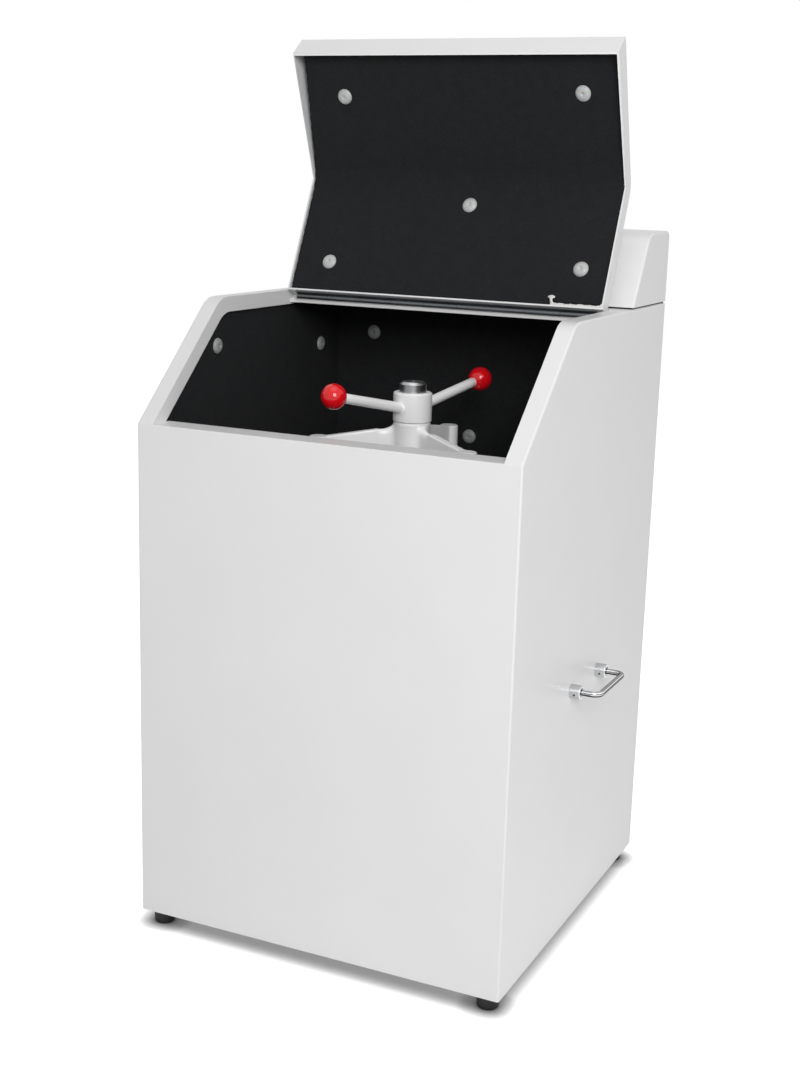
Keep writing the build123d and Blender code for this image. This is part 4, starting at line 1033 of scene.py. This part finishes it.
def set_pieces(nodes_named, profile_of, body, slot, material, ring=False):
    """Turn one profile at the seat of every solid of every node named."""
    for node in nodes_named:
        found = [round_solid(points, UP) for points in solids_of(node)]
        profile = profile_of(found[0][2], found[0][1])
        made = turned(f"{node}_turned", profile, [(seat, UP) for seat, _, _ in found], material, 112, ring)
        add_piece(made, body, slot, node)
    print(", ".join(nodes_named), "turned from radius", round(found[0][2], 1))


def bowl_profile(radius, height):
    """A thick cup: 14 mm of wall and floor, its inner corner filled by the grinding radius."""
    inner = radius - BOWL_WALL
    corners = [(0, 0), (radius - 3, 0), (radius, 3), (radius, height), (inner, height),
               (inner, BOWL_WALL), (0, BOWL_WALL)]
    return eased(corners, {1: 1.0, 2: 1.0, 3: 0.8, 4: 0.8, 5: BOWL_CORNER})


def cover_profile(radius, height):
    """Spigot, flange with its seal groove, outer wall and a flat crown with a chamfer."""
    base, spigot, roof = COVER_BASE, radius - SPIGOT_INSET, COVER_BASE + GROOVE_DEPTH
    near, far = radius - GROOVE_INSET - GROOVE_HALF, radius - GROOVE_INSET + GROOVE_HALF
    corners = [(0, 0), (spigot, 0), (spigot, base), (near, base), (near, roof), (far, roof),
               (far, base), (radius, base), (radius, height - 4), (radius - 4, height), (0, height)]
    return eased(corners, {1: 0.8, 7: 0.8, 8: 1.2, 9: 1.2})


def hoop_profile(wall):
    """A closed section for a ring: wall wide, its four corners rounded."""
    def profile(radius, height):
        corners = [(radius - wall, 0), (radius, 0), (radius, height), (radius - wall, height)]
        return eased(corners, {index: min(1.2, wall / 4) for index in range(4)})
    return profile


def puck_profile(radius, height):
    """A solid cylinder with broken edges."""
    return eased([(0, 0), (radius, 0), (radius, height), (0, height)], {1: 1.5, 2: 1.5})


for kind, shape in (("grinding_bowl", bowl_profile), ("bowl_cover", cover_profile)):
    set_pieces([f"{kind}_{index}" for index in (1, 2, 3)], shape, "platform", "bowl_steel", turned_steel)
set_pieces(["grinding_rings"], hoop_profile(RING_WALL), "platform", "bowl_steel", turned_steel, ring=True)
set_pieces(["grinding_pucks"], puck_profile, "platform", "bowl_steel", turned_steel)
set_pieces(["bowl_seals"], hoop_profile(SEAL_WALL), "platform", "black_rubber", rubber, ring=True)

# %% [markdown]
# ## Ferrules, feet and screws
# The handle's bar ends in turned ferrules. A ferrule's mouth is counterbored, so a dark
# crescent shows round the bar, and a grub screw in its side holds the bar. The rubber feet
# are moulded with a lip that seats on the sheet and a rounded sole. The cover's screws are
# pan heads with a cross recess, cut into the head by a formula on a polar grid.

# %% Ferrules and feet
FERRULE_BORE, FERRULE_MOUTH, MOUTH_DEPTH = 4.1, 2.6, 3
FOOT_LIP, LIP_HEIGHT, SOLE_TAPER, SOLE_ROUND = 1.5, 2.2, 0.4, 3.0
GRUB_OUT, GRUB_REACH = 8.0 * MM, 10.02 * MM
GRUB_FACING = np.array((0.0, -0.97, -0.243))
GRUB_PROFILE = [(0, 0.0), (1.6, 0.0), (1.6, -1.0), (0, -1.0)]


def ferrule_profile(radius, length):
    """A closed section: outer wall, rounded mouth, counterbore and bore."""
    mouth, shelf = FERRULE_BORE + FERRULE_MOUTH, length - MOUTH_DEPTH
    corners = [(FERRULE_BORE, 0), (radius, 0), (radius, length), (mouth, length), (mouth, shelf),
               (FERRULE_BORE, shelf)]
    return eased(corners, {1: 0.3, 2: 1.2, 3: 0.3})


def foot_profile(radius, height):
    """Rounded sole, tapered wall and a lip where the foot meets the sheet."""
    sole, lip = radius - SOLE_TAPER, radius + FOOT_LIP
    corners = [(0, 0), (sole, 0), (lip - 0.5, height - LIP_HEIGHT - 0.4), (lip, height - LIP_HEIGHT),
               (lip, height), (0, height)]
    return eased(corners, {1: SOLE_ROUND, 3: 0.2, 4: 0.5})


for name, side in (("left", -1), ("right", 1)):
    outward = (float(side), 0.0, 0.0)
    ends = [round_solid(points, outward) for points in solids_of(f"handle_ferrules_{name}")]
    made = turned(f"handle_ferrules_{name}_turned", ferrule_profile(ends[0][2], ends[0][1]),
                  [(seat, outward) for seat, _, _ in ends], satin_stainless, 72, ring=True, sharp=50)
    add_piece(made, "cabinet", "polished_steel", f"handle_ferrules_{name}")
    holes = [(seat + np.array((side * GRUB_OUT, 0, 0)) + GRUB_FACING * GRUB_REACH, GRUB_FACING)
             for seat, _, _ in ends]
    add_piece(turned(f"handle_grub_screws_{name}", GRUB_PROFILE, holes, oxide_black, 24),
              "cabinet", "black_plastic")
feet = [node for node in nodes if node.startswith("foot_")]
for node in feet:
    seat, height, radius = round_solid(solids_of(node)[0], UP)
    add_piece(turned(f"{node}_moulded", foot_profile(radius, height), [(seat, UP)], rubber, 72),
              "cabinet", "black_rubber", node)
print("ferrules made; feet made:", len(feet))

# %% Cover screws
SCREW_SLOT, SCREW_ARM, SCREW_SINK, SCREW_RIM, SLOT_SOFT = 0.75, 2.6, 1.1, 0.8, 0.25


def screw_head(seat, radius, height, rings=26, steps=96):
    """A pan head on a polar grid: height less a drop of (r / radius)^5, less the cross recess."""
    reach = np.linspace(0, 1, rings)[:, None] * radius
    angle = np.linspace(0, 2 * pi, steps, endpoint=False)[None, :]
    u, v = reach * np.cos(angle), reach * np.sin(angle)
    crown = height - (height - SCREW_RIM) * (reach / radius) ** 5
    arms = [ramp(-np.abs(a), -SCREW_SLOT - SLOT_SOFT, -SCREW_SLOT + SLOT_SOFT)
            * ramp(-np.abs(b), -SCREW_ARM, -SCREW_ARM + 1.2) for a, b in ((u, v), (v, u))]
    up = crown - SCREW_SINK * np.maximum(*arms)
    base = np.stack([u[-1], v[-1], np.zeros(steps)], axis=-1)[None]
    middle = np.zeros((1, steps, 3))
    local = np.concatenate([np.stack([u, v, np.broadcast_to(up, u.shape)], axis=-1), base, middle]) * MM
    first, second, third = axes_about((0, 1, 0))
    return np.array(seat) + local @ np.array((first, second, third))


found = [round_solid(points, (0.0, 1.0, 0.0)) for points in solids_of("cover_screws")]
heads = np.stack([screw_head(seat, radius, height) for seat, height, radius in found])
add_piece(piece("cover_screws_crossed", heads, quads_of_each(heads), zinc),
          "cabinet", "zinc_steel", "cover_screws")
print("screw heads:", len(found), "of radius", round(found[0][2], 2))

# %% [markdown]
# ## The support springs
# A coil spring is a round wire whose middle line climbs round a cylinder. Springs that stand
# on a plate have closed ends, so the climb starts and stops gently: the height is a smooth
# step of the turn added to a straight climb. The wire's circle is laid square to the path at
# every place, and the two cut ends are closed with small caps. The springs stand on the
# cabinet's stand and carry the platform.

# %% Coil springs
WIRE_RADIUS, SPRING_TURNS = 4.0, 4


def spring_path(middle, radius, low, rise, turns, steps=330):
    """x, y go round a circle; height = rise * climb, whose rate is lower near both ends."""
    turn = np.linspace(0, turns, steps)
    rate = 0.45 + ramp(turn, 0, 0.9) * (1 - ramp(turn, turns - 0.9, turns))
    climb = np.r_[0, np.cumsum((rate[1:] + rate[:-1]) / 2)]
    angle = turn * 2 * pi
    return np.stack([middle[0] + radius * np.cos(angle), middle[1] + radius * np.sin(angle),
                     low + rise * climb / climb[-1]], axis=-1)


def wire_grid(path, radius, steps=16):
    """Circles of wire square to a path; the first and last shrink to points to close the ends."""
    along = np.gradient(path, axis=0)
    along /= np.linalg.norm(along, axis=1)[:, None]
    side = np.cross(along, UP)
    side /= np.linalg.norm(side, axis=1)[:, None]
    up = np.cross(side, along)
    angle = np.linspace(0, 2 * pi, steps, endpoint=False)[None, :, None]
    size = np.full(len(path), radius)[:, None, None]
    spokes = np.cos(angle) * side[:, None, :] + np.sin(angle) * up[:, None, :]
    rings = path[:, None, :] + size * spokes
    ends = [np.repeat(path[index][None, None, :], steps, axis=1) for index in (0, -1)]
    return np.concatenate([ends[0], rings, ends[1]])


coils, radius = [], WIRE_RADIUS * MM
for points in solids_of("support_springs"):
    low, high = points.min(axis=0), points.max(axis=0)
    middle, reach = (low + high) / 2, (high[1] - low[1]) / 2 - radius
    path = spring_path(middle, reach, low[2] + radius, high[2] - low[2] - 2 * radius, SPRING_TURNS)
    coils.append(wire_grid(path, radius))
coils = np.stack(coils)
springs = piece("support_springs_wire", coils, quads_of_each(coils), oxide_black)
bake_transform(springs)
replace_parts(springs, "support_springs")
print("springs:", len(coils), "of mean radius in mm", round(float(reach) / MM, 1))

# %% [markdown]
# ## The controls
# The buttons' caps are dished for a finger, the lamp has a clear dome in a black bezel, and
# the timer's bezel carries a printed scale. The scale is thin raised paint: a short bar at
# every step and a plain number at every second one. They are all built on the control
# panel's own plane, which is square to the line along which the start button is pressed.

# %% Buttons and lamp
PRESS_AXIS = np.array(joint_named("start_press")["axis"], float)
PANEL_OUT = PRESS_AXIS * (1 if PRESS_AXIS[2] > 0 else -1)
PANEL_OUT /= np.linalg.norm(PANEL_OUT)
DISH_DEPTH, DISH_SHARE = 0.9, 0.78
LAMP_HEIGHT, LENS_RADIUS, LENS_RISE, LENS_PLAY = 12.0, 9.5, 7.0, 0.3
BEZEL_NECK, BEZEL_HEIGHT, BEZEL_FLOOR = 11, 4, 3


def cap_profile(radius, height):
    """A push button: rounded rim and a finger dish that deepens with the square of the way in."""
    dish = [(radius * share, height - DISH_DEPTH * (1 - (share / DISH_SHARE) ** 2))
            for share in np.linspace(DISH_SHARE, 0, 9)]
    return eased([(0, 0), (radius, 0), (radius, height)], {2: 1.0}) + dish


for name, cap in (("start", cap_green), ("stop", cap_red)):
    seat, height, radius = round_solid(solids_of(f"{name}_button")[0], PANEL_OUT)
    made = turned(f"{name}_button_cap", cap_profile(radius, height), [(seat, PANEL_OUT)], cap, 72,
                  sharp=40)
    slot = "green_button" if name == "start" else "red_knob"
    add_piece(made, f"{name}_button", slot, f"{name}_button")

seat, height, radius = round_solid(solids_of("power_lamp")[0], PANEL_OUT)
panel, mouth = height - LAMP_HEIGHT, LENS_RADIUS + LENS_PLAY
rim, floor = panel + BEZEL_HEIGHT, panel + BEZEL_FLOOR
bezel_half = [(0, 0), (BEZEL_NECK, 0), (BEZEL_NECK, panel), (radius, panel), (radius, rim), (mouth, rim),
              (mouth, floor), (0, floor)]
ball = (LENS_RADIUS ** 2 + LENS_RISE ** 2) / (2 * LENS_RISE)
tilt = np.degrees(np.arccos(LENS_RADIUS / ball))
lens_half = [(0, floor), (LENS_RADIUS, floor), (LENS_RADIUS, panel + (LAMP_HEIGHT - LENS_RISE))]
lens_half += arc((0, panel + LAMP_HEIGHT - ball), ball, tilt, 90, 20)[1:]
bezel_half = eased(bezel_half, {4: 1.2, 5: 0.4})
for name, profile, look, slot in (("bezel", bezel_half, abs_black, "black_plastic"),
                                  ("lens", lens_half, lens_clear, "lamp_lens")):
    made = turned(f"power_lamp_{name}", profile, [(seat, PANEL_OUT)], look, 72, sharp=40)
    add_piece(made, "cabinet", slot, "power_lamp")
print("panel faces", PANEL_OUT.round(3))

# %% The timer's scale
TIMER_MIDDLE = np.array(joint_named("timer_turn")["pos_m"])
SCALE_STEPS, SCALE_SWEEP, SCALE_RADIUS, SCALE_INK = 13, 300.0, 19.5, 0.06
LONG_MARK, SHORT_MARK, MARK_HALF, NUMBER_SIZE = 3.4, 2.2, 0.35, 3.6
ACROSS = np.array((1.0, 0.0, 0.0))
PANEL_UP = np.cross(PANEL_OUT, ACROSS)
print_white = moulded("printed_ink", "#DCDCDA", "#E4E4E2", 1.0, 0.01, {"Roughness": 0.6})


def scale_marks():
    """Thin bars round the knob: each is a small box along a radius, in the panel's own axes."""
    turn = np.radians(np.linspace(-SCALE_SWEEP / 2, SCALE_SWEEP / 2, SCALE_STEPS))
    radial = np.sin(turn)[:, None] * ACROSS + np.cos(turn)[:, None] * PANEL_UP
    beside = np.cos(turn)[:, None] * ACROSS - np.sin(turn)[:, None] * PANEL_UP
    long = np.where(np.arange(SCALE_STEPS) % 2 == 0, LONG_MARK, SHORT_MARK)[:, None]
    corners = []
    for height in (0, SCALE_INK):
        for reach, side in ((0, -MARK_HALF), (1, -MARK_HALF), (1, MARK_HALF), (0, MARK_HALF)):
            place = radial * (SCALE_RADIUS - LONG_MARK + reach * long) + beside * side
            corners.append(place + PANEL_OUT * height)
    points = np.stack(corners, axis=1) * MM
    one = np.array([(3, 2, 1, 0), (4, 5, 6, 7), (0, 1, 5, 4), (1, 2, 6, 5), (2, 3, 7, 6), (3, 0, 4, 7)])
    faces = (one[None] + 8 * np.arange(SCALE_STEPS)[:, None, None]).reshape(-1, 4)
    return points, faces, radial


points, faces, radial = scale_marks()
timer_points = solids_of("timer_unit")[0]
level = (timer_points @ PANEL_OUT).max() - SCALE_INK * MM
axis_point = TIMER_MIDDLE + PANEL_OUT * (level - TIMER_MIDDLE @ PANEL_OUT)
add_piece(piece("timer_scale_marks", points + axis_point, faces, print_white), "cabinet", "pale_nylon")


def scale_numbers():
    """Plain numbers at every second mark, as one text mesh each, laid on the panel's plane."""
    turn_to_panel = Matrix((ACROSS, PANEL_UP, PANEL_OUT)).transposed()
    made = []
    for index in range(0, SCALE_STEPS, 2):
        text = bpy.data.curves.new(f"number_{index}", "FONT")
        text.body, text.size, text.extrude = str(index * 5), NUMBER_SIZE * MM, SCALE_INK * MM / 2
        text.align_x, text.align_y = "CENTER", "CENTER"
        place = (axis_point + radial[index] * (SCALE_RADIUS + NUMBER_SIZE) * MM
                 + PANEL_OUT * SCALE_INK * MM / 2)
        thing = bpy.data.objects.new(text.name, text)
        bpy.context.scene.collection.objects.link(thing)
        mesh = bpy.data.meshes.new_from_object(thing)
        mesh.transform(Matrix.Translation(place) @ turn_to_panel.to_4x4())
        bpy.data.objects.remove(thing)
        mesh.materials.clear()
        mesh.materials.append(print_white)
        numeral = bpy.data.objects.new(f"timer_number_{index * 5}", mesh)
        bpy.context.scene.collection.objects.link(numeral)
        made.append(numeral)
    return made


for numeral in scale_numbers():
    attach(numeral, "cabinet")
print("scale marks:", SCALE_STEPS)

# %% [markdown]
# ## The hinge's powder and painted shade
# The fixed leaf is spot welded to the cabinet and painted with it, but the powder does not
# reach into the hinge's slot. A mask on height therefore leaves its top edge as bare zinc,
# darkened to paint in the shade of the slot. The moving leaf and the pin sit in there too and
# get the same darkened grey: painted shade.

# %% Hinge finishes
# Zinc darkened to paint in the shade of the hinge's slot.
zinc_with_painted_shade = metal("zinc_with_painted_shade", "#66696C", "#74777A", 5.0, {"Roughness": 0.5})


def powder_with_painted_shade(height, soft_mm):
    """Powder paint below a height; above it, zinc darkened as painted shade, with a soft edge."""
    material, tree, shader = finish("powder_over_painted_shade", {"Roughness": 0.45})
    place = add(tree, "ShaderNodeTexCoord").outputs["Object"]
    level = add(tree, "ShaderNodeSeparateXYZ", {}, {"Vector": place}).outputs["Z"]
    mask = add(tree, "ShaderNodeMapRange", {},
               {"Value": level, "From Min": height - soft_mm * MM, "From Max": height + soft_mm * MM})
    # The powder's own colour below, zinc darkened as painted shade of the slot above the mask.
    tint = add(tree, "ShaderNodeMix", {"data_type": "RGBA"},
               {"Factor": mask.outputs[0], 6: colour("#E6E6E5"), 7: colour("#6C6F72")})
    tree.links.new(tint.outputs[2], shader.inputs["Base Color"])
    tree.links.new(mask.outputs[0], shader.inputs["Metallic"])
    return material


leaf_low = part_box("hinge_fixed_leaf")[0][2]
PAINTED_HEIGHT, SHADE_EDGE_MM = 6 * MM, 0.4
# Painted shade: the moving leaf, the pin and the fixed leaf's top edge take the darkened zinc.
dress(zinc_with_painted_shade, "hinge_moving_leaf", "hinge_pin")
dress(powder_with_painted_shade(leaf_low + PAINTED_HEIGHT, SHADE_EDGE_MM), "hinge_fixed_leaf")
print("fixed leaf starts at", round(leaf_low / MM, 1), "mm")

# %% [markdown]
# ## Stage and light
# The floor is a white sweep. A pale floor under soft light never reaches pure white by
# itself, so its material adds a little light that only the camera and mirrors see. Open
# floor then shows as white, and the soft shadow under the cabinet is still there. The world
# is white to the camera, to mirrors and through clear plastic, and dimmer where it lights
# the machine. The photographer's main light stood near the camera, on the right and high, so
# it reaches deep into the chamber. A weaker one on the right and one above open the shadows.
# Where the cabinet hems the floor in, an occlusion node darkens it: a tight contact shadow.

# %% Stage and light
def seen_or_mirrored(tree):
    """1 for rays from the camera, from mirrors and through clear things, 0 for all others."""
    path = add(tree, "ShaderNodeLightPath")
    first = add(tree, "ShaderNodeMath", {"operation": "MAXIMUM"},
                {0: path.outputs["Is Camera Ray"], 1: path.outputs["Is Glossy Ray"]})
    return add(tree, "ShaderNodeMath", {"operation": "MAXIMUM"},
               {0: first.outputs[0], 1: path.outputs["Is Transmission Ray"]}).outputs[0]


def studio_world(strength):
    """A world that is white where it is seen or mirrored, and lights the machine more weakly."""
    world = bpy.data.worlds.new("studio")
    bpy.context.scene.world = world
    world.use_nodes = True
    tree = world.node_tree
    tree.nodes.clear()
    dim = add(tree, "ShaderNodeBackground", {}, {"Color": colour("#FFFFFF"), "Strength": strength})
    white = add(tree, "ShaderNodeBackground", {}, {"Color": colour("#FFFFFF"), "Strength": 1.0})
    both = add(tree, "ShaderNodeMixShader", {},
               {0: seen_or_mirrored(tree), 1: dim.outputs[0], 2: white.outputs[0]})
    add(tree, "ShaderNodeOutputWorld", {}, {"Surface": both.outputs[0]})


def studio_floor(half, lift):
    """A wide white floor whose glow only camera and mirrors see; both fade where it is hemmed in."""
    mesh = bpy.data.meshes.new("floor")
    corners = [(-half, -half, 0), (half, -half, 0), (half, half, 0), (-half, half, 0)]
    mesh.from_pydata(corners, [], [(0, 1, 2, 3)])
    floor = bpy.data.objects.new("floor", mesh)
    bpy.context.scene.collection.objects.link(floor)
    material = bpy.data.materials.new("white_floor_paint")
    material.use_nodes = True
    tree = material.node_tree
    tree.nodes.clear()
    open_sky = add(tree, "ShaderNodeAmbientOcclusion", {"samples": 8}, {"Distance": 0.03})
    fade = add(tree, "ShaderNodeMath", {"operation": "POWER"}, {0: open_sky.outputs["AO"], 1: 2.3})
    tint = add(tree, "ShaderNodeMix", {"data_type": "RGBA"},
               {"Factor": fade.outputs[0], 6: colour("#1E1E1E"), 7: colour("#F4F4F4")})
    paint = add(tree, "ShaderNodeBsdfDiffuse", {}, {"Color": tint.outputs[2]})
    seen = add(tree, "ShaderNodeMath", {"operation": "MULTIPLY"},
               {0: seen_or_mirrored(tree), 1: lift})
    strength = add(tree, "ShaderNodeMath", {"operation": "MULTIPLY"},
                   {0: seen.outputs[0], 1: fade.outputs[0]})
    glow = add(tree, "ShaderNodeEmission", {}, {"Color": colour("#FFFFFF"), "Strength": strength.outputs[0]})
    both = add(tree, "ShaderNodeAddShader", {}, {0: paint.outputs[0], 1: glow.outputs[0]})
    add(tree, "ShaderNodeOutputMaterial", {}, {"Surface": both.outputs[0]})
    mesh.materials.append(material)


def soft_lamp(name, place, target, size, power):
    """A square area lamp at a place, facing a target."""
    data = bpy.data.lights.new(name, "AREA")
    data.size, data.energy = size, power
    lamp = bpy.data.objects.new(name, data)
    aim = (Vector(target) - Vector(place)).to_track_quat("-Z", "Y")
    lamp.matrix_world = Matrix.Translation(place) @ aim.to_matrix().to_4x4()
    bpy.context.scene.collection.objects.link(lamp)


studio_world(0.25)
studio_floor(6.0, 0.86)
soft_lamp("key_front", (1.9, -2.9, 2.3), (0, 0, 0.7), 1.6, 86.0)
soft_lamp("fill_right", (3.2, -0.6, 1.8), (0, 0, 0.6), 1.8, 5.0)
soft_lamp("top", (0.2, -0.6, 3.2), (0, 0, 0.8), 1.8, 11.0)
print("lamps:", len(bpy.data.lights))
